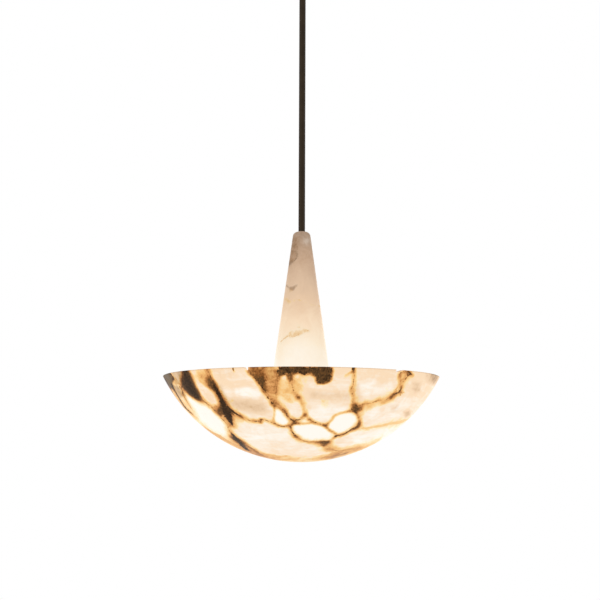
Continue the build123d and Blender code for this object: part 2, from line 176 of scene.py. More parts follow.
# %% The veins of the bowl, left side
VEINS = {
    "tip_line": (0.8, 1.6, 0.4, [(170, 373.2, 1.1), (173.4, 377.9, 1.4), (173, 381, 1)]),
    "left_patch": (0.98, 2.2, 0.6, [
        (185.4, 370.2, 4), (186, 374, 4.4), (187.2, 378, 5), (188, 382.4, 6.2), (189.2, 386.6, 6.2),
        (192, 391, 4.4), (195, 395, 2.2)]),
    "left_patch_foot": (0.86, 2.6, 0.7, [
        (185, 384.6, 2.6), (188, 388, 3.4), (192, 392.4, 2.8), (195.6, 396.6, 1.4)]),
    "left_patch_finger": (0.84, 2, 0.5, [(194.6, 390.6, 2.2), (197.2, 395, 1.5), (198.8, 399, 0.7)]),
    "left_branch": (0.7, 1.6, 0.4, [
        (184.5, 386.3, 3), (179.6, 386.9, 1.4), (181.4, 388.6, 1.2), (182.8, 391.3, 1),
        (183.2, 395.3, 0.8), (186.8, 401, 0.7), (191.3, 408.2, 0.6)]),
    "left_tail": (0.7, 2.2, 0.42, [
        (198.6, 396.6, 1.5), (202.9, 400.2, 1.1), (207.3, 403.8, 1), (212.7, 408.1, 1.1),
        (215.7, 411.4, 1.1)]),
    "white_border": (0.52, 1.8, 0.35, [
        (215.7, 411.4, 1.1), (218.6, 414.8, 1), (222, 418.6, 1), (225.4, 422.2, 1), (227.8, 426.2, 1),
        (229.4, 430.2, 1), (231, 434.4, 1.2)]),
    "edge_streak": (0.74, 1.4, 0.35, [
        (172, 385, 1.1), (175.2, 391.3, 1.1), (179.2, 398.4, 1.1), (185, 407.3, 1.1), (188.6, 410.9, 1),
        (191.9, 413.6, 0.7)]),
    "edge_band": (0.55, 1, 0.3, [
        (167.6, 384, 1.2), (171.2, 390.8, 1.3), (177.9, 400.6, 1.2), (185, 410, 0.8)]),
    "main_left_top": (0.76, 2.4, 0.45, [
        (208.2, 368.6, 1.1), (209.2, 372.6, 1.3), (211, 378.6, 1.7), (213.1, 384.2, 2.6)]),
    "main_left": (0.97, 2.4, 0.55, [
        (212.6, 382.4, 2.2), (214.4, 386.2, 3.4), (216.4, 390, 4), (218.8, 394.4, 4.2),
        (221, 398.6, 4.4), (223, 403.4, 5), (224.8, 408.4, 6.2), (227, 413.6, 7.2), (228.8, 418, 5),
        (230.4, 421.6, 3), (232.4, 425.4, 1.2)]),
    "main_left_low": (0.95, 1.8, 0.45, [
        (231, 433, 1.2), (234.1, 436.4, 2.2), (236.4, 439.1, 3), (239.1, 441.4, 2.6)]),
    "main_left_upper": (0.56, 1.6, 0.35, [
        (239.1, 441.2, 2), (241.4, 441.7, 1.5), (245.6, 444.4, 1.4), (250.2, 447.5, 1.4),
        (254.8, 450.5, 1.3), (260.5, 454.4, 1.2), (263.9, 456.7, 0.8)]),
    "main_left_lower": (0.93, 1.2, 0.3, [
        (239.1, 441.6, 2.2), (241, 443.7, 2), (243.7, 446.7, 1.9), (247.5, 450.2, 1)]),
    "main_left_tick": (0.84, 1.2, 0.3, [(231.8, 437.5, 1), (234.1, 439.4, 1)]),
    "main_left_side": (0.74, 1.8, 0.4, [
        (206.4, 379.2, 1), (209.1, 383.7, 1.2), (210.4, 386.8, 1.2), (213.6, 389.5, 1.1)]),
    "main_left_faint": (0.6, 1.2, 0.25, [(200.2, 381.4, 0.7), (204.6, 385, 0.7), (209.1, 386.8, 0.7)]),
    "main_left_cross": (0.72, 1.6, 0.4, [(216.6, 406.7, 1), (220.1, 409.1, 1.1), (222.5, 410.9, 1.2)]),
    "rim_spot": (0.85, 1.2, 0.3, [(233.1, 367.2, 1.3), (233.6, 371.6, 1.1)]),
    "low_band": (0.38, 1.5, 0.2, [
        (206.1, 428.2, 0.9), (210.7, 432, 1.4), (216.5, 435.6, 1.8), (221.1, 437.2, 2), (226, 440.2, 2),
        (231, 443.2, 2), (236, 446.2, 1.8), (243, 450, 1.3)]),
    "low_line": (0.45, 1, 0.15, [
        (260, 453.1, 0.8), (268.9, 454.5, 0.8), (277.9, 456.3, 0.8), (287.7, 455.8, 0.8)]),
    "low_dash": (0.45, 1, 0.15, [(284, 459.4, 0.8), (291, 459.4, 0.8)]),
}
print(len(VEINS), "veins on the left")

# %% The veins of the bowl, middle
VEINS |= {
    "middle_top": (0.76, 1.8, 0.4, [
        (247.1, 370.8, 1.2), (248.8, 373, 1.5), (251.6, 375.2, 1.7), (255.3, 378.2, 1.9),
        (258.3, 381.4, 2)]),
    "middle_dark": (0.92, 2.4, 0.5, [
        (258.3, 381.4, 2), (260.8, 384.8, 2.7), (262.6, 388, 2.5), (264, 390.4, 1.7)]),
    "middle_brown": (0.8, 2, 0.42, [
        (264, 390.4, 1.6), (265.4, 394, 1.5), (268, 397.6, 1.6), (270.4, 400.8, 1.8),
        (272.6, 403.6, 2.3)]),
    "middle_rust": (0.52, 1.4, 0.34, [
        (272.6, 403.9, 2.2), (276.6, 406.6, 2.4), (280.4, 409, 2.5), (284, 412.2, 2.3),
        (286.4, 415, 2)]),
    "middle_low": (0.86, 2.2, 0.42, [
        (286.4, 415, 1.8), (288.6, 417.4, 1.8), (291.6, 419.6, 2.2), (294.4, 421.6, 2.6),
        (292.6, 424, 2), (290.4, 426.2, 2.2), (291.6, 430.6, 1.6), (293.6, 433.8, 1.8),
        (296.2, 436.6, 1.3)]),
    "middle_tail": (0.54, 2.2, 0.35, [
        (296.2, 436.6, 1.3), (300.2, 439.3, 1.2), (304.6, 441.1, 1.2), (311.3, 442, 1.1),
        (318.9, 442, 1.1)]),
    "zone_border": (0.5, 1.8, 0.32, [
        (262.1, 379.1, 1.3), (265, 383.6, 1.4), (269.1, 382.3, 1.1), (273.6, 382, 1.1),
        (277.1, 375.3, 1.4)]),
    "cross_start": (0.94, 2.2, 0.45, [
        (226.4, 407.4, 5), (229.6, 409.8, 3.8), (232.8, 411.8, 2.8), (236.4, 414, 1.8),
        (240.4, 416.2, 1.2)]),
    "cross_thin": (0.54, 1.8, 0.35, [
        (240.4, 416.2, 1.1), (243, 417.4, 1), (246.3, 418.8, 1), (249, 420.3, 1), (254, 421.1, 1)]),
    "cross_dark": (0.78, 1.8, 0.4, [
        (254, 421.1, 1), (258.6, 421.5, 1.3), (260.5, 421.6, 1.7), (262.2, 419.6, 1.2),
        (264.5, 419.6, 1), (267.6, 421, 1.1), (271.6, 422.3, 1.3), (275.2, 423.7, 1.2),
        (277.9, 425.4, 1.2), (281.4, 426.3, 1.3), (288.6, 426.3, 1.4)]),
    "cross_star": (0.84, 1.2, 0.3, [(260.5, 419.3, 1.4), (260.5, 422.8, 1.2)]),
    "cross_link": (0.4, 1.4, 0.25, [
        (274.3, 406.7, 1), (274.7, 410.3, 1), (274.7, 414.3, 1), (273.4, 418.8, 1), (273, 422.3, 1)]),
    "rim_patch": (0.85, 1.6, 0.6, [
        (281.8, 370.2, 7.6), (288, 370.4, 8.6), (293, 369.8, 7.2), (300, 369.8, 7), (305, 370.6, 9),
        (309.5, 369.2, 5.6), (314, 369.4, 6), (318, 370.2, 9), (324, 370.6, 10), (329.4, 370.2, 6.4)]),
    "rim_patch_drop": (0.85, 1.6, 0.6, [
        (318, 374.6, 8), (320.4, 378.6, 9), (324.4, 378.4, 9.4), (327.4, 375.8, 8.4)]),
    "rim_patch_toe": (0.85, 1.4, 0.5, [
        (319.4, 381.8, 4), (322.6, 382.2, 3), (326, 381.2, 3.4), (329, 379.4, 3.6)]),
    "rim_patch_arm": (0.9, 1.4, 0.45, [(276.2, 371.4, 1.6), (279, 373.4, 2.8), (282, 373.2, 4)]),
    "rust_left": (0.5, 2.2, 0.36, [
        (280.6, 375, 1.8), (279, 380.4, 1.5), (278.8, 384.9, 1.4), (277.7, 390.6, 1.3),
        (277.7, 395.1, 1.3), (278.4, 400.2, 1.2), (279.4, 402.1, 1.2), (282.4, 405.3, 1.2),
        (286.4, 410.7, 1.3)]),
    "rust_right": (0.66, 2.4, 0.42, [
        (292.7, 375.3, 1.6), (292.4, 379.8, 1.6), (291.8, 384.2, 1.3), (293.4, 388.7, 1.4),
        (294, 391.9, 1.3), (296.2, 394.4, 1.3), (298.5, 397.5, 1.4)]),
    "rust_right_low": (0.46, 2, 0.3, [
        (298.5, 397.5, 1.2), (300.3, 400, 1.1), (302, 404.6, 1), (303.6, 409.4, 1),
        (305.1, 413.8, 1.4)]),
    "rust_right_spot": (0.8, 1.2, 0.3, [(297.8, 396.8, 1.3), (299.6, 398, 1.2)]),
    "rust_right_dark": (0.8, 1.8, 0.4, [
        (305, 414.7, 1.8), (304.2, 415.6, 1.4), (302, 417.9, 1.3), (298.4, 420.1, 1.4),
        (294.8, 420.5, 1.8)]),
    "low_middle": (0.78, 1.8, 0.4, [
        (309.6, 419.6, 1.4), (311.8, 421, 1.2), (318, 423.2, 1.1), (323.4, 425, 1.3),
        (325, 425.6, 1.6)]),
    "low_middle_spur": (0.8, 1.2, 0.3, [(324.3, 425, 1.1), (327.9, 423.2, 0.8)]),
    "sliver_side": (0.46, 1.6, 0.32, [(305.4, 414.8, 1.3), (307.6, 417.2, 1.1), (309.6, 419.8, 1.3)]),
    "sliver_foot": (0.4, 1.2, 0.25, [
        (295.4, 423.2, 1), (300, 423.9, 0.9), (305, 423.7, 0.9), (310, 423.2, 0.9), (313, 422.6, 1)]),
    "low_middle_dash": (0.74, 1.2, 0.3, [(294.8, 422.8, 1), (298.4, 423.7, 0.8)]),
    "low_middle_faint": (0.46, 1.2, 0.25, [
        (325, 426, 0.9), (328.6, 429.4, 0.8), (332, 431.5, 0.8), (334.5, 432.8, 0.7)]),
    "foot_blob": (0.5, 2, 0.42, [(320.5, 443, 2.4), (323.5, 443.4, 4), (326.5, 443.2, 3)]),
    "foot_spot": (0.95, 1.2, 0.3, [(326.9, 442.3, 1.6), (327.9, 442.5, 1.6)]),
    "foot_streak": (0.46, 2.4, 0.4, [
        (328, 449, 1.6), (333, 450, 1.2), (339.5, 451, 1), (349.9, 448.9, 1), (362.3, 447.7, 0.9),
        (365.6, 446.9, 0.7)]),
    "foot_edge": (0.5, 2, 0.34, [(329, 457.2, 1.2), (339.5, 455.1, 1.1), (346.6, 453.1, 1)]),
}
print(len(VEINS), "veins so far")

# %% The veins of the bowl, right side
VEINS |= {
    "right_thorn": (0.93, 1.4, 0.45, [(353.7, 367.6, 3.6), (353.9, 369.8, 2), (354, 371.4, 1.3)]),
    "right_thin": (0.74, 2.4, 0.42, [
        (354, 371.2, 1.5), (354.7, 373.3, 1.4), (354.4, 376.8, 1.3), (353.5, 381, 1.3),
        (353.3, 384.6, 1.4), (352.3, 386.7, 1.3), (350.8, 390.9, 1.3), (351.9, 393, 1.3),
        (352.6, 395.1, 1.3), (353.3, 398.6, 1.4), (352.6, 401.4, 1.5), (354.7, 404.2, 1.7)]),
    "right_thin_spur": (0.62, 1.2, 0.3, [(351.9, 371.9, 1), (349.1, 373.3, 1), (346.7, 375.1, 0.8)]),
    "right_knot": (0.84, 1.8, 0.5, [
        (353, 405.4, 2), (351.8, 408, 1.6), (352.6, 410.8, 1.8), (355.6, 411.4, 2.2),
        (358.2, 409.4, 2.4), (357.6, 406.8, 2.2), (355.2, 405.4, 2), (353, 405.4, 2)]),
    "right_dot": (0.78, 1.2, 0.3, [(348.6, 411.6, 1.4), (349.4, 411.6, 1.4)]),
    "right_faint": (0.4, 1.4, 0.25, [
        (330, 421.4, 0.8), (332.4, 418, 0.8), (335.4, 415.3, 0.8), (341, 413.2, 0.8),
        (347.4, 411.9, 0.9)]),
    "right_rust": (0.56, 3, 0.42, [
        (359.4, 407.9, 1.9), (362.4, 404.9, 1.8), (366, 403.5, 1.7), (370.9, 403.1, 1.5),
        (375.1, 401.4, 1.4), (378.6, 400, 1.4), (384.2, 400.7, 1.4), (387, 398.9, 1.5),
        (390.5, 397.2, 1.6), (392.4, 396.5, 1.8)]),
    "right_strand_top": (0.8, 1.4, 0.34, [
        (399.3, 377, 1.2), (399.2, 374.8, 1.6), (400.6, 372.8, 1.5), (403, 371.6, 1.3),
        (406, 370.8, 1.2), (408, 371.4, 1.6)]),
    "right_strand_left": (0.5, 1.4, 0.34, [
        (392.4, 396.5, 1.2), (393.8, 393.7, 1.1), (394.8, 391.4, 1.2), (396.6, 388.6, 1.1),
        (398.6, 385.6, 1.1), (399.5, 383.1, 1.2), (399.3, 379.6, 1.1), (399.3, 377, 1.1)]),
    "right_strand_dark": (0.88, 1.5, 0.36, [
        (391, 397, 1), (394.8, 394.1, 1.4), (397.3, 393.1, 1.8), (399.4, 391.9, 2), (400.8, 389.5, 1.6),
        (401.4, 387.2, 1.3)]),
    "right_strand_right": (0.68, 1.5, 0.32, [
        (401.4, 387.2, 1.3), (400.8, 384.4, 1.2), (402.6, 382.2, 1.2), (404.6, 379.8, 1.2),
        (406.8, 377, 1.3), (408.6, 374.4, 1.5)]),
    "right_spot": (0.94, 1.8, 0.5, [
        (408.3, 371.8, 2.4), (409.6, 373, 3), (411, 373.8, 2), (413.4, 375.8, 0.7)]),
    "right_spur_upper": (0.76, 1.2, 0.3, [(400.1, 391.6, 1), (404, 392.6, 0.8)]),
    "right_spur_lower": (0.72, 1.2, 0.3, [(400.1, 393.3, 1), (400.4, 395.4, 0.8)]),
    "right_down": (0.48, 2.2, 0.45, [
        (355.7, 412, 1.2), (356.8, 414.5, 1), (358.2, 416.6, 1), (358.8, 419.9, 1), (358.4, 423.2, 1)]),
    "right_foot": (0.84, 1.8, 0.5, [(354.8, 427.6, 1.3), (357.2, 426.4, 1.8), (358.2, 424, 1)]),
    "right_back": (0.8, 1.8, 0.42, [
        (356.5, 427, 1.6), (352, 429, 1.4), (347.8, 431.9, 1.4), (344.1, 434, 1.4), (340.3, 435.2, 1.5),
        (337, 435.7, 1.9), (335.4, 436.5, 1.8)]),
    "right_pale": (0.27, 2.4, 0.2, [
        (359, 427.4, 2), (366.5, 428.4, 2.2), (372.7, 427, 2), (381, 425.8, 2.2), (390, 423.4, 1.8),
        (402, 421.4, 1.6), (412, 418, 0.9)]),
}
print(len(VEINS), "veins on the bowl")

# %% [markdown]
# ## Cells, clouds and smudges
# Between the veins the stone is not even. Some cells are clear and let the light through almost
# white, with a crisp border. Others are cloudy, peach or ash grey. The grey at the bowl's left and
# right tips, where the lamps inside light it least, is painted shade. A patch is a strength, a softness
# in picture pixels and an outline in the picture. A spot is round: x, y, its radius and its strength.

# %% Cells that let the light through
CLEAR_CELLS = {
    "small_white": (1.0, 0.7, [
        (275, 407), (279, 408.7), (283.4, 411.6), (286.3, 416), (288.2, 420.8), (287.4, 424.4),
        (283.4, 425.6), (279, 424.8), (275.7, 422.6), (274.6, 418.9), (275, 413)]),
    "middle_white": (1.0, 0.8, [
        (291.8, 427), (293.7, 424.8), (298.8, 424.4), (311.2, 423.7), (317.8, 425.2), (324.4, 427),
        (328.1, 430.7), (333.2, 432.5), (335.4, 435.1), (332.5, 438), (328.8, 440.2), (319.3, 440.9),
        (308.3, 440.9), (301, 439.1), (296.6, 435.8), (293.7, 432.1)]),
    "right_white": (1.0, 0.8, [
        (334.8, 416.3), (341, 413.7), (348.2, 412.2), (354.3, 412.7), (356.9, 416.3), (358.4, 421.4),
        (357.4, 425.5), (351.2, 429.6), (345.1, 432.2), (338.9, 433.7), (334.8, 432.7), (330.7, 430.1),
        (327.7, 426.5), (329.7, 423.5), (332.8, 420.4)]),
    "upper_sliver": (0.9, 1, [
        (301, 423.5), (302.5, 421.6), (306, 420.6), (309.3, 421.3), (309.6, 423.2), (305, 424)]),
    "upper_dot": (0.8, 1, [
        (304.8, 418.8), (305.4, 417.2), (307.2, 417.2), (307.8, 419.2), (306, 419.8)]),
    "left_white": (0.95, 1.6, [
        (187.7, 398), (193.8, 400.4), (200, 402), (205.1, 405), (211.2, 409.6), (216.4, 415),
        (222.5, 420), (227.4, 425.5), (230.4, 431), (231, 435), (223.5, 435.4), (215.3, 432.6),
        (209.2, 428.6), (201, 422.5), (194.8, 416), (190.7, 409.6), (187.7, 404)]),
    "left_white_top": (0.75, 2.5, [
        (187, 397), (192, 398), (198, 401), (204, 404), (206, 408), (196, 408), (189, 404)]),
    "left_glow": (0.7, 2.5, [
        (236, 389), (248, 387), (258, 389), (262, 394), (258, 398), (246, 397), (236, 394)]),
    "right_glow": (0.4, 3, [
        (360, 384), (372, 382), (392, 384), (394, 389), (384, 394), (364, 396), (358, 391)]),
    "middle_band": (0.3, 3, [(310, 384), (330, 386), (348, 384), (350, 390), (330, 391), (312, 389)]),
    "middle_low_glow": (0.45, 3, [
        (309, 410), (320, 405), (340, 405), (349, 407), (346, 411), (333, 414), (329, 420), (318, 420),
        (310, 417)]),
    "low_right_glow": (0.35, 3, [
        (361, 431), (376, 429), (392, 426), (402, 425), (388, 437), (372, 446), (360, 444), (352, 440),
        (350, 435)]),
    "low_glow": (0.2, 4, [
        (240, 424), (256, 425), (272, 427), (286, 430), (290, 438), (300, 444), (318, 446), (316, 452),
        (290, 452), (264, 450), (246, 440)]),
}
print(len(CLEAR_CELLS), "clear cells")

# %% Brown, tan and smoky patches
DARK_PATCHES = {
    "left_patch_soft": (0.86, 3.6, [
        (182.6, 371), (188.8, 371), (192, 377), (195, 385), (198.4, 392), (199.6, 398), (195.6, 398),
        (190, 395), (184.6, 389.4), (182.2, 384.4), (182.8, 378)]),
    "main_left_brown": (0.2, 2.6, [
        (208, 377), (212.4, 382), (217, 391), (221, 400), (222.4, 408), (219, 404), (214.6, 396),
        (210, 387)]),
    "main_left_shade": (0.34, 1.8, [
        (214, 384), (218, 388), (224, 400), (227, 408), (223, 404), (218, 395)]),
    "left_tan": (0.27, 3, [
        (194, 365), (208, 365), (213, 380), (215, 388), (210, 390), (204, 384), (199, 378)]),
    "main_left_knee": (0.5, 1.4, [
        (217.4, 408), (221, 408.6), (223.6, 413), (221, 417.4), (218, 413.6)]),
    "olive_zone": (0.53, 1.2, [
        (247.6, 365), (257, 365), (262, 371), (264.4, 378), (265, 384), (262.8, 388), (259.6, 384.2),
        (256, 379.8), (251.6, 375.6), (248.4, 372.4)]),
    "olive_fade": (0.26, 2.4, [
        (256, 364), (264, 364), (267, 376), (267.4, 384), (263, 384), (258, 376)]),
    "tan_lobe": (0.38, 1.6, [
        (262, 364), (272, 364), (276, 368), (276.4, 376), (272, 381), (265, 382), (262, 376)]),
    "rust_band": (0.38, 1.6, [
        (265, 383.4), (270, 381.6), (275, 379.4), (277.6, 374.6), (281, 375), (279, 381), (277, 384.6),
        (270, 384.4)]),
    "brown_cell": (0.47, 1.6, [
        (263.4, 385), (277.6, 384), (277.4, 392), (276, 394), (269, 393.4), (265, 391.4),
        (263.6, 388)]),
    "tan_cell": (0.36, 1.4, [
        (265.6, 392.8), (276, 393.4), (277, 400), (280, 405), (275.4, 404.4), (271.6, 402),
        (268.6, 398)]),
    "rust_foot": (0.3, 1, [
        (277.6, 403.4), (281, 405.6), (286, 411.4), (288, 415.6), (285, 413), (280, 408)]),
    "patch_root": (0.54, 1.2, [(286, 374.6), (292.4, 375), (292, 380), (289, 382), (286.6, 379)]),
    "patch_notch": (0.36, 0.8, [(307.6, 371), (314.6, 371), (315, 376), (310, 376.4)]),
    "tongue": (0.15, 2, [
        (280, 378), (291, 378), (292, 390), (297, 398), (299, 402), (290, 404), (281, 398),
        (279.4, 388)]),
    "tongue_side": (0.17, 3, [
        (294, 380), (300, 378), (304, 390), (308, 402), (308, 412), (304, 410), (300, 402),
        (296, 392)]),
    "tongue_shade": (0.16, 2.5, [(300, 374), (313, 377), (304, 388), (296, 390), (294, 382)]),
    "cluster_fill": (0.32, 1, [
        (399.6, 373.6), (403, 371.6), (407, 371.6), (406.4, 376), (403.4, 379.6), (400, 382)]),
    "cluster_glow": (0.16, 2.4, [(403, 379), (409, 374), (413, 377), (409, 384), (403, 390)]),
    "knot_shade": (0.16, 2.8, [
        (359.6, 406), (364, 405.6), (365, 413), (362, 423), (359.6, 424), (358.8, 412)]),
    "knot_fill": (0.5, 1, [(353.6, 406.6), (356.6, 406.8), (357.4, 409.4), (355.4, 410.8), (353, 410)]),
    "thin_side": (0.17, 2.6, [
        (352.4, 384.6), (357, 385), (357.6, 392), (359.6, 399), (357.8, 404.6), (353.6, 400),
        (352.4, 392)]),
    "right_rust_glow": (0.17, 2.4, [
        (362, 407.6), (372, 404.6), (388, 401.6), (396, 396), (394, 402), (378, 406.6), (364, 412)]),
    "foot_fill": (0.4, 1.1, [
        (319.6, 441.4), (324, 440.8), (328.6, 441), (327, 445), (323.6, 446.6), (320.6, 445)]),
    "foot_glow": (0.14, 2, [(322, 446), (332, 443), (340, 448), (330, 452), (324, 451)]),
    "low_left_brown": (0.2, 1.6, [
        (206, 428.6), (216.5, 434.6), (226, 438.8), (236, 442), (244, 446.6), (252, 451), (246, 452),
        (232, 446), (216, 439.6), (206, 431)]),
    # This patch is painted shade along the bowl's bottom outline.
    "bottom_edge_shade": (0.22, 2.4, [
        (244, 451), (264, 454.4), (290, 456.4), (316, 456.4), (342, 452), (330, 461), (300, 464),
        (266, 461)]),
}
# Smoky patches of the stone, and painted shade at the bowl's left and right tips (left_tip, right_tip,
# right_tip_side).
SMOKE_AND_SHADE = {
    "left_tip": (0.97, 1, [
        (160, 374), (170, 372.6), (171.6, 376), (173.4, 379), (172.6, 384), (175, 391), (170, 388),
        (163, 380)]),
    "tip_cell": (0.38, 1, [
        (171.6, 372), (183, 371), (183.6, 379), (181, 384.6), (175.4, 384), (173.4, 379)]),
    "tip_cell_side": (0.35, 2, [(178, 371), (184, 371), (184, 382), (180, 382)]),
    "left_edge": (0.5, 1.6, [(171, 384), (178, 386), (186, 396), (180, 398), (174, 391)]),
    "main_left_ash": (0.36, 3, [
        (214, 382), (220, 386), (226, 396), (229, 403), (224, 404), (218, 394)]),
    "left_cell_top": (0.05, 4, [(214, 370), (234, 369), (234, 376), (220, 378)]),
    "left_cloud": (0.26, 5, [
        (230, 400), (246, 399.4), (262, 403.4), (268, 410), (262, 412), (242, 410), (229, 406)]),
    "lobe_ash": (0.3, 1.6, [
        (262, 364), (272, 364), (276, 368), (276.4, 376), (272, 381), (265, 382), (262, 376)]),
    "zone_ash": (0.34, 1.6, [(248, 364), (262, 364), (264, 372), (262, 378), (256, 375)]),
    "middle_cloud": (0.16, 4, [(308, 392), (330, 393), (350, 393), (350, 399), (334, 400), (312, 399)]),
    "vein_side": (0.1, 3, [
        (353.4, 385), (358.6, 384.6), (359.6, 391), (361.4, 400), (357.6, 404), (355, 397),
        (353.6, 391)]),
    "right_tip": (0.54, 2.4, [(431, 372), (439, 374), (438, 380), (434, 384.6), (431.6, 381)]),
    "right_tip_side": (0.24, 3, [(426, 373), (432, 373.6), (431.6, 384), (427, 382)]),
    "right_smudge": (0.24, 2.4, [(412.6, 383), (420.6, 382.6), (420, 385.6), (414, 386)]),
    "right_smudge_low": (0.24, 2.4, [(412, 388), (419, 387), (420.6, 391), (415, 392.6)]),
    "edge_smudge": (0.34, 2, [(404, 412), (409.4, 410.6), (410, 415), (405.4, 417)]),
    "edge_smudge_side": (0.14, 2.4, [(391, 406.4), (398, 405.6), (398, 410), (392, 411.6)]),
    # This patch is painted shade along the bowl's bottom outline.
    "bottom_edge_shade": (0.1, 3, [
        (244, 453), (264, 456.4), (290, 458.4), (316, 458.4), (342, 454), (330, 463), (300, 466),
        (266, 463)]),
    "foot_smudge": (0.3, 2, [(329, 455), (346, 451.6), (347, 455), (331, 459.6)]),
}
print(len(DARK_PATCHES), "dark patches,", len(SMOKE_AND_SHADE), "smoky patches")

# %% Round spots
STAIN_SPOTS = {
    "tongue_top": (286, 384, 5, 0.12),
    "tongue_middle": (286, 392, 6, 0.14),
    "tongue_low": (287, 399, 5, 0.14),
    "middle_low": (325, 400, 8, 0.2),
    "middle_side": (340, 396, 7, 0.1),
    "left_top": (203, 375, 6, 0.08),
    "by_left_patch": (197, 376, 4, 0.2),
    "under_cloud": (232, 401, 2, 0.25),
    "over_cross": (240, 420, 6, 0.14),
    "in_knot": (354.4, 407.4, 1.2, 0.3),
    "right_middle": (386, 391, 6, 0.08),
    "foot": (299, 447, 9, 0.05),
    "beige": (245, 405, 12, 0.12),
    "left_rim": (240, 374, 8, 0.06),
    "right_rim": (395, 375, 5, 0.1),
    "middle_rim": (344, 375, 6, 0.08),
}
CLEAR_SPOTS = {
    "by_patch": (278.4, 369, 1.5, 0.9),
    "knot_heart": (354.6, 408.8, 1.2, 0.3),
    "right_low": (405, 402, 7, 0.3),
    "right_lower": (395, 414, 8, 0.4),
    "right_middle": (372, 414, 6, 0.3),
    "tongue_tip": (293, 407, 4, 0.3),
    "low_right": (352, 444, 8, 0.15),
    "low_left": (256, 432, 8, 0.25),
    "left_middle": (226, 392, 4, 0.3),
    "right_cell": (371, 390, 9, 0.3),
    "far_right": (380, 431, 9, 0.4),
    "right_low_side": (395, 405, 6, 0.3),
    "left_white": (210, 424, 8, 0.3),
}
print(len(STAIN_SPOTS) + len(CLEAR_SPOTS), "spots")

# %% The veins of the cone
CONE_VEINS = {
    "top_hook": (0.56, 2, 0.35, [
        (291.8, 251.2, 1), (295, 251.8, 1.3), (297.2, 253.6, 1.6), (296.8, 257.5, 1.5),
        (294.4, 260.6, 1.3), (291.2, 263, 1.2), (289.4, 264.4, 1.2)]),
    "top_branch": (0.42, 2, 0.25, [(297, 239.8, 1), (297.6, 244.6, 1.2), (297.4, 250, 1.3)]),
    "top_left": (0.4, 1.4, 0.25, [(291.4, 252, 0.9), (290.6, 257, 0.9), (289.8, 262, 0.9)]),
    "high_hook": (0.44, 1.6, 0.3, [
        (286.4, 285.8, 1.1), (288.6, 287.4, 1.2), (291, 288.4, 1.3), (293.5, 287.9, 1.2),
        (295.6, 286.6, 1.1), (297, 285.6, 1)]),
    "high_tail": (0.24, 1.8, 0.16, [(292.8, 288.8, 1), (289, 292, 1), (285.8, 297.7, 0.9)]),
    "girdle": (0.3, 1.8, 0.18, [
        (284.6, 299.6, 1.2), (288.7, 300.8, 1.4), (292.5, 299.8, 1.4), (298.3, 299.8, 1.3),
        (303, 301.4, 1.2), (310.7, 304.2, 1.1), (314.6, 305.3, 1.1), (319.8, 306.3, 1.2)]),
    "foot_line": (0.32, 1.8, 0.16, [
        (281, 341.3, 1), (284.9, 337.9, 1.2), (287.8, 336, 1.2), (293, 336.5, 1.2), (298.3, 335, 1.1),
        (302.1, 331.6, 1), (308.8, 330.6, 0.9)]),
    "foot_peak": (0.28, 1.2, 0.12, [
        (289.6, 334, 0.8), (292.2, 330.6, 0.9), (294.4, 333.2, 0.8), (296.6, 331, 0.8)]),
}
CONE_SMOKE = {
    "in_hook": (0.3, 1.4, [
        (288, 250), (295, 251), (297, 254), (296.4, 258), (293, 261.6), (286, 266), (286, 258)]),
    "over_hook": (0.26, 2.6, [(290, 237), (298, 238), (298.6, 249), (291, 251), (286, 247)]),
}
CONE_STAINS = {
    "by_hook": (301.5, 254, 5, 0.18),
    "foot": (300, 327, 9, 0.1),
    "high": (292, 291, 4, 0.14),
    "girdle": (290.4, 303, 5, 0.1),
}
CONE_CLEAR = {
    "top": (306.6, 241, 3.6, 0.3),
    "in_hook": (293, 256, 1.5, 0.12),
    # The clear spot at the cone's foot is painted lamp glow, close to the lamps.
    "foot": (300, 350, 12, 0.5),
}
print(len(CONE_VEINS), "veins on the cone")

# %% [markdown]
# ## From the picture to the stone
# A width in the picture is narrower than the real one where the stone turns away from the camera.
# So both edges of a vein are found on the stone, and the distance between them is its real width.
# A vein thinner than the picture can show keeps a least width, and its tone is lightened instead.

# %% From the picture to the stone
LEAST_WIDTH = 1.0


def place_vein(place, tone, halo, soak, points):
    """One vein as rows of x, y, z, half width, tone, halo reach and halo strength."""
    rows = []
    for index, (x, y, width) in enumerate(points):
        before, after = points[max(index - 1, 0)], points[min(index + 1, len(points) - 1)]
        run = Vector((after[0] - before[0], after[1] - before[1])).normalized()
        half = max(width, LEAST_WIDTH) / 2
        edges = [place(x + s * half * run.y, y - s * half * run.x) for s in (-1, 1)]
        across = (edges[0] - edges[1]).length / 2
        thin = min(width / LEAST_WIDTH, 1)
        rows.append((*place(x, y), across, tone * thin, halo / half * across, soak))
    return np.array(rows)


bowl_veins = [place_vein(on_bowl, *vein) for vein in VEINS.values()]
cone_veins = [place_vein(on_cone, *vein) for vein in CONE_VEINS.values()]
widest = 2 * max(vein[:, 3].max() for vein in bowl_veins)
print("widest vein", round(widest / MM, 1), "mm")

# %% [markdown]
# ## The far side
# The stone has veins all round, but only the front is known. The back takes the same kind of veins:
# the front ones turned about half way round the axis, with every vein shifted, bent and made a little
# thinner or wider by a seeded random draw. So the two sides don't match, and every run of the script
# gives the same stone.

# %% The far side
BACK_SHIFT = 9 * MM
BACK_BEND = 3 * MM
BOWL_TURN = math.radians(184)
CONE_TURN = math.radians(162)
BOWL_SEED = 7
CONE_SEED = 11
BACK_WIDTHS = (0.6, 1.2)
BACK_TONES = (0.75, 1.05)


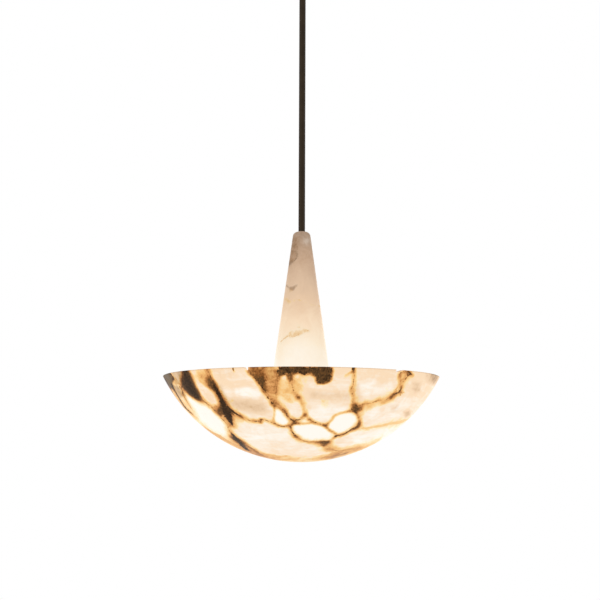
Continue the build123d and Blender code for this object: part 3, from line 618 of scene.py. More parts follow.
def far_side(veins, turn, seed):
    """Copies of veins turned about the axis, each with its own shift, bend, width and tone."""
    draw = Random(seed)
    spin = np.array(Matrix.Rotation(turn, 3, "Z"))
    copies = []
    for vein in veins:
        shift = [draw.uniform(-1, 1) * BACK_SHIFT for _ in range(3)]
        bent = vein.copy()
        bent[:, :3] = bent[:, :3] @ spin.T + shift
        bent[:, :3] += [[draw.uniform(-1, 1) * BACK_BEND for _ in range(3)] for _ in bent]
        bent[:, 3] *= draw.uniform(*BACK_WIDTHS)
        bent[:, 4] *= draw.uniform(*BACK_TONES)
        copies.append(bent)
    return copies


bowl_veins += far_side(bowl_veins, BOWL_TURN, BOWL_SEED)
cone_veins += far_side(cone_veins, CONE_TURN, CONE_SEED)
print(len(bowl_veins), "veins round the bowl,", len(cone_veins), "round the cone")

# %% [markdown]
# ## Turning a body of stone
# Stone bowls and cones are turned on a lathe, and spin does the same to an outline. The outline is
# drawn in the XZ plane: arcs are spun from one point, and straight parts are new edges in short
# steps, because the veins need a fine, even net of points to hang on.


# %% Turning a body of stone
MERGE_WITHIN = 0.001 * MM
SAME_RING = 0.01 * MM
SHARP_ANGLE = math.radians(30)


def new_outline(x, z):
    """An empty outline in the XZ plane, and its first point."""
    outline = bmesh.new()
    return outline, outline.verts.new((x, 0, z))


def arc_to(outline, corner, centre, angle, steps):
    """Carries the outline on round a centre in the XZ plane, by an angle from +Z towards +X."""
    made = bmesh.ops.spin(
        outline, geom=[corner], cent=centre, axis=(0, 1, 0), angle=angle, steps=steps, use_duplicate=False)
    return made["geom_last"][0]


def line_to(outline, corner, x, z, steps=1):
    """Carries the outline on in a straight line, in equal steps."""
    start = corner.co.copy()
    for step in range(1, steps + 1):
        point = outline.verts.new(start.lerp(Vector((x, 0, z)), step / steps))
        outline.edges.new((corner, point))
        corner = point
    return corner


def turn_outline(outline, steps):
    """Spins the outline all the way round the Z axis and makes its faces point outwards."""
    bmesh.ops.remove_doubles(outline, verts=outline.verts, dist=MERGE_WITHIN)
    bmesh.ops.spin(
        outline, geom=outline.verts[:] + outline.edges[:], cent=(0, 0, 0), axis=(0, 0, 1),
        angle=2 * math.pi, steps=steps, use_merge=True)
    bmesh.ops.remove_doubles(outline, verts=outline.verts, dist=MERGE_WITHIN)
    bmesh.ops.recalc_face_normals(outline, faces=outline.faces)


def ring_edges(body, radius, z):
    """The edges of one ring of a turned body."""
    def near(vert):
        off = math.hypot(vert.co.x, vert.co.y) - radius
        return abs(off) < SAME_RING and abs(vert.co.z - z) < SAME_RING
    return [edge for edge in body.edges if near(edge.verts[0]) and near(edge.verts[1])]


def finish_piece(body, name):
    """Makes an object of a mesh, smooth but for its sharp edges."""
    for face in body.faces:
        face.smooth = True
    for edge in body.edges:
        edge.smooth = not edge.is_manifold or edge.calc_face_angle() < SHARP_ANGLE
    mesh = bpy.data.meshes.new(name)
    body.to_mesh(mesh)
    body.free()
    piece = bpy.data.objects.new(name, mesh)
    bpy.context.scene.collection.objects.link(piece)
    return piece


print("edges sharper than", round(math.degrees(SHARP_ANGLE)), "degrees stay sharp")

# %% [markdown]
# ## The bowl
# The outline goes from the recess at the bottom up the outside, over the flat rim, down the inside
# to the flat floor and back through the stem's hole. The rim's two edges are eased by a narrow bevel.

# %% The bowl
BOWL_STEPS = 480
OUTSIDE_STEPS = 148
INSIDE_STEPS = 38


def sphere_angle(radius, sphere):
    """The angle up from a sphere's pole to where it is this far from the axis."""
    return math.asin(radius / sphere)


inner_sphere = BOWL_SPHERE - BOWL_WALL
floor_z = pole_z + BOWL_FLOOR
inner_rim_radius = math.sqrt(inner_sphere**2 - (bowl_centre.z - rim_z) ** 2)
floor_radius = math.sqrt(inner_sphere**2 - (bowl_centre.z - floor_z) ** 2)
outer_start = sphere_angle(NUT_RECESS, BOWL_SPHERE)
outer_end = sphere_angle(rim_radius, BOWL_SPHERE)
inner_end = sphere_angle(inner_rim_radius, inner_sphere)
inner_start = sphere_angle(floor_radius, inner_sphere)

bowl_body, corner = new_outline(NUT_RECESS, bowl_centre.z - BOWL_SPHERE * math.cos(outer_start))
foot = corner
corner = arc_to(bowl_body, corner, bowl_centre, outer_start - outer_end, OUTSIDE_STEPS)
corner = line_to(bowl_body, corner, inner_rim_radius, rim_z, 2)
corner = arc_to(bowl_body, corner, bowl_centre, inner_end - inner_start, INSIDE_STEPS)
corner = line_to(bowl_body, corner, STEM_HOLE, floor_z, 8)
corner = line_to(bowl_body, corner, STEM_HOLE, recess_z)
corner = line_to(bowl_body, corner, NUT_RECESS, recess_z)
bowl_body.edges.new((corner, foot))
turn_outline(bowl_body, BOWL_STEPS)
rim_rings = ring_edges(bowl_body, rim_radius, rim_z) + ring_edges(bowl_body, inner_rim_radius, rim_z)
bmesh.ops.bevel(
    bowl_body, geom=rim_rings, offset=BOWL_EDGE, offset_type="WIDTH", affect="EDGES", segments=2,
    profile=0.5, material=-1, clamp_overlap=True)
print(len(bowl_body.faces), "faces in the bowl,", len(rim_rings), "rim edges eased")

# %% [markdown]
# ## Two chips in the rim
# The rim has two small chips at the front. The mesh is cut by upright planes through the axis where
# a chip's sides are, so that its sides are crisp, and then the rim between them is pushed down. The
# push fades out a little way down the wall, so no face folds over another.

# %% Two chips in the rim
CHIPS = {
    "left_chip": (243.5, 244.3, 247.7, 248.3, 4.6 * MM),
    "right_chip": (396.7, 397.4, 399.6, 405.0, 3.8 * MM),
}
CHIP_FADE = 16 * MM
CHIP_ZONE = CHIP_FADE * 1.5
CHIP_ROOM = 0.05
RIM_ROW = 369


def bearing(x):
    """The bearing about the axis of the rim's point that is seen at x in the picture."""
    point = on_bowl(x, RIM_ROW)
    return math.atan2(point.x, -point.y)


def chip_rim(body, sides, depth):
    """Pushes the rim down between four bearings: start, full depth, full depth, end."""
    def near(item_point):
        turn = math.atan2(item_point.x, -item_point.y)
        close = sides[0] - CHIP_ROOM < turn < sides[3] + CHIP_ROOM
        return close and item_point.z > rim_z - CHIP_ZONE
    for side in sides:
        faces = [face for face in body.faces if near(face.calc_center_median())]
        parts = set(faces) | {edge for face in faces for edge in face.edges}
        parts |= {vert for face in faces for vert in face.verts}
        bmesh.ops.bisect_plane(
            body, geom=list(parts), dist=SAME_RING, plane_co=(0, 0, 0),
            plane_no=(math.cos(side), math.sin(side), 0))
    for vert in body.verts:
        if not near(vert.co):
            continue
        turn = math.atan2(vert.co.x, -vert.co.y)
        push = np.interp(turn, sides, (0, 1, 1, 0)) * depth
        below = rim_z - vert.co.z
        if push > 0 and below < CHIP_FADE:
            flat = math.hypot(vert.co.x, vert.co.y)
            wall = math.hypot(flat, vert.co.z - bowl_centre.z)
            lower = push + below * (CHIP_FADE - push) / CHIP_FADE
            wider = math.sqrt(wall**2 - (bowl_centre.z - rim_z + lower) ** 2) / flat
            vert.co = Vector((vert.co.x * wider, vert.co.y * wider, rim_z - lower))


for name, (*sides, depth) in CHIPS.items():
    chip_rim(bowl_body, [bearing(x) for x in sides], depth)
    print(name, "is", round(depth / MM, 1), "mm deep")
bmesh.ops.recalc_face_normals(bowl_body, faces=bowl_body.faces)
bowl = finish_piece(bowl_body, "veined_bowl")

# %% [markdown]
# ## The cone
# The cone is drawn the same way: the hole round the rod, the rounded shoulder, the long straight
# side and the hollow inside. Its shoulder is an arc that meets the top and the side without a step.

# %% The cone
CONE_STEPS = 200
SIDE_STEPS = 160
HOLLOW_STEPS = 24
SHOULDER_STEPS = 10

lean = math.atan(cone_slope)
shoulder_turn = math.pi / 2 - lean
shoulder_reach = CONE_SHOULDER * math.tan(shoulder_turn / 2)
shoulder_centre = Vector((CONE_TOP_RADIUS - shoulder_reach, 0, cone_top_z - CONE_SHOULDER))
hollow_gap = CONE_WALL / math.cos(lean)
hollow_top_z = cone_top_z - CONE_TOP_WALL
hollow_top_radius = CONE_TOP_RADIUS + cone_slope * CONE_TOP_WALL - hollow_gap

cone_body, corner = new_outline(CONE_HOLE, cone_top_z)
top = corner
corner = line_to(cone_body, corner, shoulder_centre.x, cone_top_z)
corner = arc_to(cone_body, corner, shoulder_centre, shoulder_turn, SHOULDER_STEPS)
corner = line_to(cone_body, corner, CONE_FOOT_RADIUS, cone_foot_z, SIDE_STEPS)
corner = line_to(cone_body, corner, CONE_FOOT_RADIUS - hollow_gap, cone_foot_z, 2)
corner = line_to(cone_body, corner, hollow_top_radius, hollow_top_z, HOLLOW_STEPS)
corner = line_to(cone_body, corner, CONE_HOLE, hollow_top_z)
cone_body.edges.new((corner, top))
turn_outline(cone_body, CONE_STEPS)
foot_rings = ring_edges(cone_body, CONE_FOOT_RADIUS, cone_foot_z)
foot_rings += ring_edges(cone_body, CONE_FOOT_RADIUS - hollow_gap, cone_foot_z)
bmesh.ops.bevel(
    cone_body, geom=foot_rings, offset=CONE_EDGE, offset_type="WIDTH", affect="EDGES", segments=2,
    profile=0.5, material=-1, clamp_overlap=True)
bmesh.ops.recalc_face_normals(cone_body, faces=cone_body.faces)
print(len(cone_body.faces), "faces in the cone")
cone = finish_piece(cone_body, "veined_cone")

# %% [markdown]
# ## Writing the veins into the stone
# Every point of a mesh can carry named values that a material reads: attributes. For each point the
# nearest vein is found, and the point keeps the arrow to it, how far it lies outside it, and the
# vein's half width and tone. The rust that soaks out of the veins near it is kept as a stain. The
# arrow is exact between points where a plain distance is rounded off, and the plain distance is right
# half way between two veins, where arrows cancel. The material uses both.


# %% Writing the veins into the stone
VEIN_REACH = 30 * MM
RUST_FALL = 1.5
RUST_SHARE = 0.84


def vein_field(points, veins):
    """What each point knows of its nearest vein, and the rust that soaks there from all of them."""
    count = len(points)
    arrow, gap = np.zeros((count, 3)), np.full(count, 1.0)
    half, tone, stain = np.zeros(count), np.zeros(count), np.zeros(count)
    for vein in veins:
        low, high = vein[:, :3].min(axis=0) - VEIN_REACH, vein[:, :3].max(axis=0) + VEIN_REACH
        close = np.flatnonzero(((points > low) & (points < high)).all(axis=1))
        here, soak = points[close], np.zeros(len(close))
        for start, end in zip(vein[:-1], vein[1:]):
            run = end[:3] - start[:3]
            share = np.clip((here - start[:3]) @ run / max(run @ run, 1e-12), 0, 1)[:, None]
            reach = start[:3] + share * run - here
            row = start[3:] + share * (end[3:] - start[3:])
            outside = np.linalg.norm(reach, axis=1) - row[:, 0]
            fall = (np.maximum(outside, 0) / row[:, 2]) ** RUST_FALL
            soak = np.maximum(soak, row[:, 3] * np.exp(-fall))
            better = outside < gap[close]
            chosen = close[better]
            arrow[chosen], gap[chosen] = reach[better], outside[better]
            half[chosen], tone[chosen] = row[better, 0], row[better, 1]
        stain[close] = 1 - (1 - stain[close]) * (1 - soak * RUST_SHARE)
    return {"arrow": arrow, "gap": gap, "half": half, "tone": tone, "stain": stain}


print("a vein is looked for up to", round(VEIN_REACH / MM), "mm away")

# %% [markdown]
# ## Writing the cells into the stone
# The cells, clouds and spots are written in the same way. Each point of the stone is carried to the
# picture and takes the strengths of the patches over it. A crisp cell also gets a thin rusty border.
# The side that faces away from the camera takes the patches as if it were turned to the front.

# %% Writing the cells into the stone
CRISP = 1.0
BORDER_OFFSET = 0.9
BORDER_REACH = 1.3
BORDER_STAIN = 0.2
CLEAR_KEEPS = 0.45
SIDE_FADE = 0.25


def in_picture(points):
    """Where the camera sees each point, in picture pixels."""
    seen = (points - np.array(CAMERA_PLACE)) @ np.array(look.to_3x3())
    scale = LENS / (SENSOR / PICTURE) / -seen[:, 2]
    return np.stack([PICTURE / 2 + seen[:, 0] * scale, PICTURE / 2 - seen[:, 1] * scale], axis=1)


def inside_outline(places, outline):
    """How far each place lies inside an outline, in pixels; outside it the number is below zero."""
    inside, far = np.zeros(len(places), bool), np.full(len(places), 1e9)
    for start, end in zip(outline, outline[1:] + outline[:1]):
        start, end = np.array(start, float), np.array(end, float)
        run = end - start
        share = np.clip((places - start) @ run / (run @ run), 0, 1)[:, None]
        far = np.minimum(far, np.linalg.norm(start + share * run - places, axis=1))
        crosses = (start[1] > places[:, 1]) != (end[1] > places[:, 1])
        slant = run[0] / run[1] if run[1] else 0
        inside ^= crosses & (places[:, 0] < start[0] + (places[:, 1] - start[1]) * slant)
    return np.where(inside, far, -far)


def cover(places, patches, spots, borders):
    """The strength of patches with soft edges, spots and borders together at each place of the picture."""
    bare = np.ones(len(places))
    for strength, softness, outline in patches.values():
        step = np.clip(0.5 + inside_outline(places, outline) / (2 * softness), 0, 1)
        bare *= 1 - strength * step * step * (3 - 2 * step)
    for _, softness, outline in borders.values():
        if softness < CRISP:
            outside = inside_outline(places, outline) + BORDER_OFFSET
            bare *= 1 - BORDER_STAIN * np.exp(-((outside / BORDER_REACH) ** 2))
    for x, y, radius, strength in spots.values():
        bare *= 1 - strength * np.exp(-(((places - (x, y)) / radius) ** 2).sum(axis=1))
    return 1 - bare


def cell_field(points, facing, turn, layers):
    """Stain, smoky grey with the painted shade at the tips, and clearness: the picture's on the near side,
    and the turned ones on the far side.
    """
    spin = np.array(Matrix.Rotation(turn, 3, "Z"))
    step = np.clip(-facing / SIDE_FADE, 0, 1)
    near, far = in_picture(points), in_picture(points @ spin)
    field = {}
    for name, layer in layers.items():
        field[name] = cover(near, *layer) * (1 - step) + cover(far, *layer) * step
    return field


def write_field(piece, field):
    """Writes each row of values as an attribute of the piece's points."""
    for name, values in field.items():
        kind, slot_name = ("FLOAT_VECTOR", "vector") if values.ndim == 2 else ("FLOAT", "value")
        attribute = piece.data.attributes.new("vein_" + name, kind, "POINT")
        attribute.data.foreach_set(slot_name, values.astype(np.float32).ravel())


def mesh_points(piece):
    """The places of all points of a piece, one row each."""
    points = np.zeros(len(piece.data.vertices) * 3)
    piece.data.vertices.foreach_get("co", points)
    return points.reshape(-1, 3)


def towards_camera(points, normals):
    """How far each normal faces the camera: 1 straight at it, 0 at the outline."""
    away = np.array(CAMERA_PLACE) - points
    lengths = np.linalg.norm(away, axis=1) * np.linalg.norm(normals, axis=1)
    return (away * normals).sum(axis=1) / lengths


def write_stone(piece, points, normals, veins, turn, layers):
    """Writes the veins and cells of one stone. A clear cell keeps part of the rust off itself."""
    field = vein_field(points, veins)
    cells = cell_field(points, towards_camera(points, normals), turn, layers)
    soaked = field["stain"] * (1 - CLEAR_KEEPS * cells["clear"])
    field["stain"] = 1 - (1 - soaked) * (1 - cells.pop("stain"))
    write_field(piece, field | cells)
    on_vein = float((field["gap"] < 0).mean())
    print(piece.name, "has", len(points), "points,", round(on_vein * 100, 1), "% on a vein")


# The bowl's points are pressed straight out onto its outside, so that its veins go right through.
out = mesh_points(bowl) - np.array(bowl_centre)
bowl_points = np.array(bowl_centre) + out * (BOWL_SPHERE / np.linalg.norm(out, axis=1))[:, None]
write_stone(bowl, bowl_points, out, bowl_veins, BOWL_TURN, {
    "stain": (DARK_PATCHES, STAIN_SPOTS, CLEAR_CELLS),
    "ash": (SMOKE_AND_SHADE, {}, {}),
    "clear": (CLEAR_CELLS, CLEAR_SPOTS, {}),
})
cone_points = mesh_points(cone)
write_stone(cone, cone_points, cone_points * (1, 1, 0), cone_veins, CONE_TURN, {
    "stain": ({}, CONE_STAINS, {}),
    "ash": (CONE_SMOKE, {}, {}),
    "clear": ({}, CONE_CLEAR, {}),
})

# %% [markdown]
# ## A small kit for materials
# Materials are made of nodes. These helpers add a node, set its inputs and join it up, so that each
# finish below reads as a short recipe.


# %% A small kit for materials
def linear(red, green, blue):
    """A colour given from 0 to 255, as it shows on screen, in the form that nodes use."""
    def one(value):
        value /= 255
        return value / 12.92 if value <= 0.04045 else ((value + 0.055) / 1.055) ** 2.4
    return (one(red), one(green), one(blue), 1.0)


def stops(*rows):
    """The stops of a ramp, from rows of place, red, green and blue."""
    return [(place, linear(*colour)) for place, *colour in rows]


def grey(level):
    """A grey of this level, in the form that nodes use."""
    return (level, level, level, 1.0)


class Recipe:
    """A material's node tree with short words for adding to it."""

    def __init__(self, name):
        self.material = bpy.data.materials.new(name)
        self.material.use_nodes = True
        self.tree = self.material.node_tree
        self.shader = self.tree.nodes["Principled BSDF"]

    def add(self, kind, settings=None, **inputs):
        node = self.tree.nodes.new("ShaderNode" + kind)
        for key, value in (settings or {}).items():
            setattr(node, key, value)
        for key, value in inputs.items():
            self.join(value, node.inputs[int(key[1:]) if key[1:].isdigit() else key.replace("_", " ")])
        return node

    def join(self, value, socket):
        if isinstance(value, bpy.types.NodeSocket):
            self.tree.links.new(value, socket)
        else:
            socket.default_value = value

    def set(self, **inputs):
        for key, value in inputs.items():
            self.join(value, self.shader.inputs[key.replace("_", " ")])

    def place(self):
        return self.add("TexCoord").outputs["Object"]

    def read(self, name, output="Fac"):
        """A value that was written at the points of the stone."""
        return self.add("Attribute", {"attribute_name": "vein_" + name}).outputs[output]

    def stretched(self, *scale):
        """The place on the piece, squeezed or stretched along its axes."""
        return self.add("Mapping", None, Vector=self.place(), Scale=scale).outputs[0]

    def vector(self, operation, first, second=(0, 0, 0), output="Vector"):
        return self.add("VectorMath", {"operation": operation}, _0=first, _1=second).outputs[output]

    def maths(self, operation, first, second=0.0, third=0.0, clamp=False):
        settings = {"operation": operation, "use_clamp": clamp}
        return self.add("Math", settings, _0=first, _1=second, _2=third).outputs[0]

    def noise(self, scale, detail=3.0, roughness=0.5, distortion=0.0, place=None):
        place = place or self.place()
        node = self.add("TexNoise", None, Vector=place, Scale=scale, Detail=detail, Roughness=roughness)
        node.inputs["Distortion"].default_value = distortion
        return node.outputs["Fac"]

    def shift(self, scale, detail, reach):
        """A small random shift in all three directions, as far as reach."""
        node = self.add("TexNoise", None, Vector=self.place(), Scale=scale, Detail=detail)
        centred = self.vector("SUBTRACT", node.outputs["Color"], (0.5, 0.5, 0.5))
        return self.vector("MULTIPLY", centred, (reach, reach, reach))

    def spread(self, value, low, high, to_low=0.0, to_high=1.0, smooth=False):
        settings = {"interpolation_type": "SMOOTHSTEP" if smooth else "LINEAR", "clamp": True}
        return self.add("MapRange", settings, _0=value, _1=low, _2=high, _3=to_low, _4=to_high).outputs[0]

    def blend(self, share, first, second, how="MIX"):
        node = self.add("Mix", {"data_type": "RGBA", "blend_type": how})
        self.join(share, node.inputs[0])
        self.join(first, node.inputs[6])
        self.join(second, node.inputs[7])
        return node.outputs[2]

    def ramp(self, value, rows):
        node = self.add("ValToRGB", None, Fac=value)
        marks = node.color_ramp.elements
        marks[0].position = rows[0][0]
        marks[1].position = rows[-1][0]
        for position, _ in rows[1:-1]:
            marks.new(position)
        for mark, (_, colour) in zip(marks, rows):
            mark.color = colour
        return node.outputs["Color"]

    def level(self, value):
        """A grey colour of this level."""
        return self.add("CombineColor", None, Red=value, Green=value, Blue=value).outputs[0]

    def bump(self, height, strength, distance):
        node = self.add("Bump", None, Strength=strength, Distance=distance, Height=height)
        self.set(Normal=node.outputs["Normal"])


print("recipe words:", [word for word in dir(Recipe) if not word.startswith("_")])

# %% [markdown]
# ## Alabaster with light behind it
# Lit from inside, alabaster shows two things at once: the light that the room throws on it and the
# lamp light that soaks through. The finish works out the colour that the stone shows, from the veins
# outwards, and then shares it between its plain colour and a painted glow: an emission that stands in
# for the lamp light soaking through the stone. Dark veins let no light through, so their share of
# painted glow is small. A ragged edge comes from noise added to the gap.

# %% Alabaster with light behind it
CREAM = linear(249, 220, 186)
WHITE = linear(255, 250, 240)
RUST = stops(
    (0.0, 255, 255, 255), (0.08, 255, 242, 214), (0.18, 252, 221, 168), (0.32, 243, 192, 122),
    (0.46, 215, 152, 90), (0.58, 162, 106, 55), (0.7, 108, 73, 37), (0.85, 80, 56, 32), (1.0, 46, 28, 9))
GREY = stops(
    (0.0, 255, 255, 255), (0.15, 230, 204, 178), (0.3, 200, 170, 142), (0.6, 140, 114, 92),
    (1.0, 74, 58, 44))
SMOKE_AND_SHADE_TINT = [
    (0.0, (1, 1, 1, 1)),
    (0.35, (0.74, 0.66, 0.57, 1)),
    (0.7, (0.38, 0.32, 0.26, 1)),
    (1.0, (0.13, 0.12, 0.11, 1)),
]
print(len(RUST), "steps from clear stone to the darkest rust")

# %% How much of a point is vein
WIDE_WANDER = 3.4 * MM
FINE_WANDER = 2.4 * MM


def vein_share(mix, wander):
    """How much of a point is vein, from 0 in clear stone to 1 in the darkest core."""
    half = mix.read("half")
    gap = mix.read("gap")
    moved = mix.vector("ADD", mix.read("arrow", "Vector"), mix.shift(110.0, 2.0, WIDE_WANDER * wander))
    moved = mix.vector("ADD", moved, mix.shift(330.0, 2.0, FINE_WANDER * wander))
    exact = mix.maths("SUBTRACT", mix.vector("LENGTH", moved, output="Value"), half)
    far = mix.spread(gap, 1.6 * MM, 3.4 * MM)
    near = mix.maths("MULTIPLY", exact, mix.maths("SUBTRACT", 1.0, far))
    outside = mix.maths("MULTIPLY_ADD", gap, far, near)
    swell = mix.spread(mix.noise(150.0, 2.0), 0.32, 0.68, -0.15 * MM, 1.15 * MM)
    ragged = mix.spread(mix.noise(330.0, 3.0, 0.6), 0.32, 0.68, -1.0, 1.0)
    teeth = mix.spread(half, 1.0 * MM, 7.0 * MM, 0.5 * MM, 2.2 * MM)
    outside = mix.maths("ADD", mix.maths("MULTIPLY_ADD", ragged, teeth, outside), swell)
    core = mix.spread(outside, -1.0 * MM, 1.3 * MM, 1.0, 0.0, smooth=True)
    wide_vein = mix.spread(half, 1.4 * MM, 4.0 * MM)
    least = mix.maths("MULTIPLY_ADD", wide_vein, 0.24, 0.68)
    beads = mix.spread(mix.noise(120.0, 3.0, 0.6), 0.34, 0.62)
    evenness = mix.maths("MULTIPLY_ADD", beads, mix.maths("SUBTRACT", 1.08, least), least)
    tone = mix.maths("MULTIPLY", mix.read("tone"), evenness)
    return mix.maths("MULTIPLY", core, tone, clamp=True)


print("a vein's edge wanders up to", round((WIDE_WANDER + FINE_WANDER) / MM / 2, 1), "mm each way")


# %% The colour of the stone, and its glow
STONE_GRAIN = 180.0


def soaked_colour(mix, cell, greyness, ash, wander):
    """The colour of the stone: its cell, with the rust and the vein laid over it."""
    core = vein_share(mix, wander)
    cloud = mix.noise(95.0, 5.0, 0.65, 0.6)
    rust = mix.maths("POWER", mix.read("stain"), mix.spread(cloud, 0.3, 0.7, 1.35, 0.76))
    upright = mix.stretched(1.0, 1.0, 0.22)
    grain = mix.spread(mix.noise(520.0, 3.0, 0.6, 0.3, upright), 0.32, 0.68, -0.15, 0.15)
    amount = mix.maths("MAXIMUM", core, rust)
    amount = mix.maths("MULTIPLY_ADD", grain, mix.spread(amount, 0.3, 0.8), amount, clamp=True)
    laid = mix.blend(greyness, mix.ramp(amount, RUST), mix.ramp(amount, GREY))
    laid = mix.blend(1.0, cell, laid, "DARKEN")
    # The smoke tint greys the stone's smoky patches, and paints shade at the bowl's tips and along its
    # rim.
    smoke_and_shade = mix.maths("POWER", mix.read("ash"), mix.spread(cloud, 0.3, 0.7, 1.5, 0.75))
    smoke_and_shade = mix.maths("ADD", smoke_and_shade, ash, clamp=True)
    return mix.blend(1.0, laid, mix.ramp(smoke_and_shade, SMOKE_AND_SHADE_TINT), "MULTIPLY"), amount


def finish_stone(mix, colour, share, light):
    """Shares a colour between plain colour, for the light that falls on the stone, and a painted glow that
    stands in for the lamp light through it.
    """
    rest = mix.maths("SUBTRACT", 1.0, mix.maths("MULTIPLY", share, light))
    mix.set(
        Base_Color=mix.blend(1.0, colour, mix.level(share), "MULTIPLY"),
        Emission_Color=mix.blend(1.0, colour, mix.level(rest), "MULTIPLY"),
        Emission_Strength=1.0,
        Roughness=mix.spread(mix.noise(40.0, 3.0), 0.3, 0.7, 0.36, 0.48),
    )
    mix.shader.inputs["Specular IOR Level"].default_value = 0.06
    mix.bump(mix.noise(STONE_GRAIN, 4.0, 0.6), 0.06, 0.5 * MM)


print("the stone's surface has faint waves about", round(1 / STONE_GRAIN / MM, 1), "mm long")

# %% The bowl's finish
# Painted lamp glow by depth below the rim: none at the rim, strongest low down, fading again at the
# bottom.
DEPTH_GLOW = [
    (0.0, grey(0.0)), (0.3, grey(0.12)), (0.6, grey(0.36)), (0.85, grey(0.36)),
    (0.95, grey(0.08)), (1.0, grey(0.0)),
]


def bowl_finish():
    """A painted lamp glow by height: pale low down where it is strongest, creamier under the rim and at
    the very bottom where it fades, with faint level bands through it.
    """
    mix = Recipe("lit_alabaster_bowl")
    height = mix.add("SeparateXYZ", None, Vector=mix.place()).outputs["Z"]
    bands = mix.noise(75.0, 4.0, 0.6, 0.8, mix.stretched(0.22, 0.22, 1.6))
    cloud = mix.noise(26.0, 5.0, 0.6, 1.2)
    wisps = mix.noise(120.0, 3.0, 0.6, 0.5)
    clear = mix.maths("ADD", mix.read("clear"), mix.spread(cloud, 0.35, 0.65, -0.2, 0.2))
    clear = mix.maths("ADD", clear, mix.spread(bands, 0.35, 0.65, -0.22, 0.22))
    clear = mix.maths("ADD", clear, mix.spread(wisps, 0.35, 0.65, -0.08, 0.08))
    # The painted lamp glow by height is added to the clearness, so the wall turns whiter low down.
    clear = mix.maths("ADD", clear, mix.ramp(mix.spread(height, rim_z, pole_z), DEPTH_GLOW))
    clear = mix.maths("MULTIPLY_ADD", mix.read("ash"), -2.0, clear, clamp=True)
    cell = mix.blend(clear, CREAM, WHITE)
    # The top 2 mm under the rim take the grey smoke tint: painted shade along the rim's edge.
    edge = mix.spread(height, rim_z - 2.0 * MM, rim_z, 0.0, 0.38)
    colour, amount = soaked_colour(mix, cell, 0.0, edge, 1.0)
    finish_stone(mix, colour, mix.spread(amount, 0.1, 0.9, 0.32, 0.7), 0.66)
    return mix.material


bowl_stone = bowl_finish()
print(bowl_stone.name, "has", len(bowl_stone.node_tree.nodes), "nodes")

# %% The cone's finish
# From warm white at the foot to tan at the top: the stone's tan with a painted lamp glow that is strongest
# at the foot.
CONE_GLOW_RISE = stops(
    (0.0, 255, 251, 240), (0.08, 255, 247, 232), (0.2, 254, 238, 213), (0.36, 250, 225, 195),
    (0.5, 237, 206, 174), (0.64, 225, 195, 166), (0.8, 208, 176, 148), (0.95, 186, 158, 134),
    (1.0, 180, 154, 132))
RISE_DRIFT = 14 * MM


def cone_finish():
    """A painted lamp glow, brightest at the cone's foot inside the bowl, fades up the cone to the stone's
    tan at its top.
    """
    mix = Recipe("lit_alabaster_cone")
    height = mix.add("SeparateXYZ", None, Vector=mix.place()).outputs["Z"]
    cloud = mix.noise(30.0, 5.0, 0.6, 0.8)
    mottle = mix.noise(170.0, 4.0, 0.65, 0.4)
    wavy = mix.maths("ADD", height, mix.spread(cloud, 0.3, 0.7, -RISE_DRIFT, RISE_DRIFT))
    rise = mix.spread(wavy, rim_z, cone_top_z)
    cell = mix.blend(mix.read("clear"), mix.ramp(rise, CONE_GLOW_RISE), WHITE)
    high = mix.spread(rise, 0.52, 0.6, 0.4, 1.0)
    mottled = mix.maths("MULTIPLY", mix.spread(rise, 0.6, 1.0), mix.spread(mottle, 0.4, 0.7, 0.0, 0.22))
    colour, amount = soaked_colour(mix, cell, high, mottled, 0.5)
    # Higher up the cone, more of the colour is plain colour and less is painted glow.
    by_height = mix.spread(rise, 0.0, 1.0, 0.3, 0.7)
    by_vein = mix.spread(amount, 0.3, 0.9, 0.3, 0.7)
    finish_stone(mix, colour, mix.maths("MAXIMUM", by_height, by_vein), 0.98)
    return mix.material


cone_stone = cone_finish()
print(cone_stone.name, "has", len(cone_stone.node_tree.nodes), "nodes")

# %% [markdown]
# ## Dressing the stone
# Each turned stone now takes its finish, rides with the hanging part and stands for its measured
# twin, which stays in the frame unseen.


# %% Dressing the stone
def dress(piece, material):
    """Gives a piece one material, and only that one."""
    piece.data.materials.clear()
    piece.data.materials.append(material)


for piece, material, node in ((bowl, bowl_stone, "stone_bowl"), (cone, cone_stone, "stone_cone")):
    dress(piece, material)
    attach(piece, "pendant")
    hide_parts(node)
    print(piece.name, "stands for", node)

# %% [markdown]
# ## Dark bronze paint
# The rods, canopy and swivel have a satin, dark bronze finish, almost black with a brown warmth. A
# flat dark colour looks like plastic, so the tone drifts a little, the gloss is uneven and the edges
# show a hint of fine orange-peel texture.


# %% Dark bronze paint
def bronze_finish():
    """A satin, nearly black brown with an uneven gloss."""
    mix = Recipe("dark_bronze_paint")
    drift = mix.spread(mix.noise(45.0, 4.0, 0.6), 0.3, 0.7)
    mix.set(
        Base_Color=mix.ramp(drift, stops((0.0, 38, 30, 22), (1.0, 50, 40, 29))),
        Roughness=mix.spread(mix.noise(160.0, 3.0), 0.3, 0.7, 0.4, 0.54),
    )
    mix.shader.inputs["Specular IOR Level"].default_value = 0.14
    mix.shader.inputs["Specular Tint"].default_value = (1.0, 0.82, 0.6, 1.0)
    mix.bump(mix.noise(1400.0, 2.0), 0.12, 0.1 * MM)
    return mix.material


finishes = {"bronze_paint": bronze_finish()}
print("made", finishes["bronze_paint"].name)

# %% [markdown]
# ## Metals, ceramic, plastic and rubber
# The hidden parts have the plain finishes of lamp makers' stock: zinc plated steel with faint
# brushing, bright brass, nickel, white glazed ceramic, white plastic and black rubber.


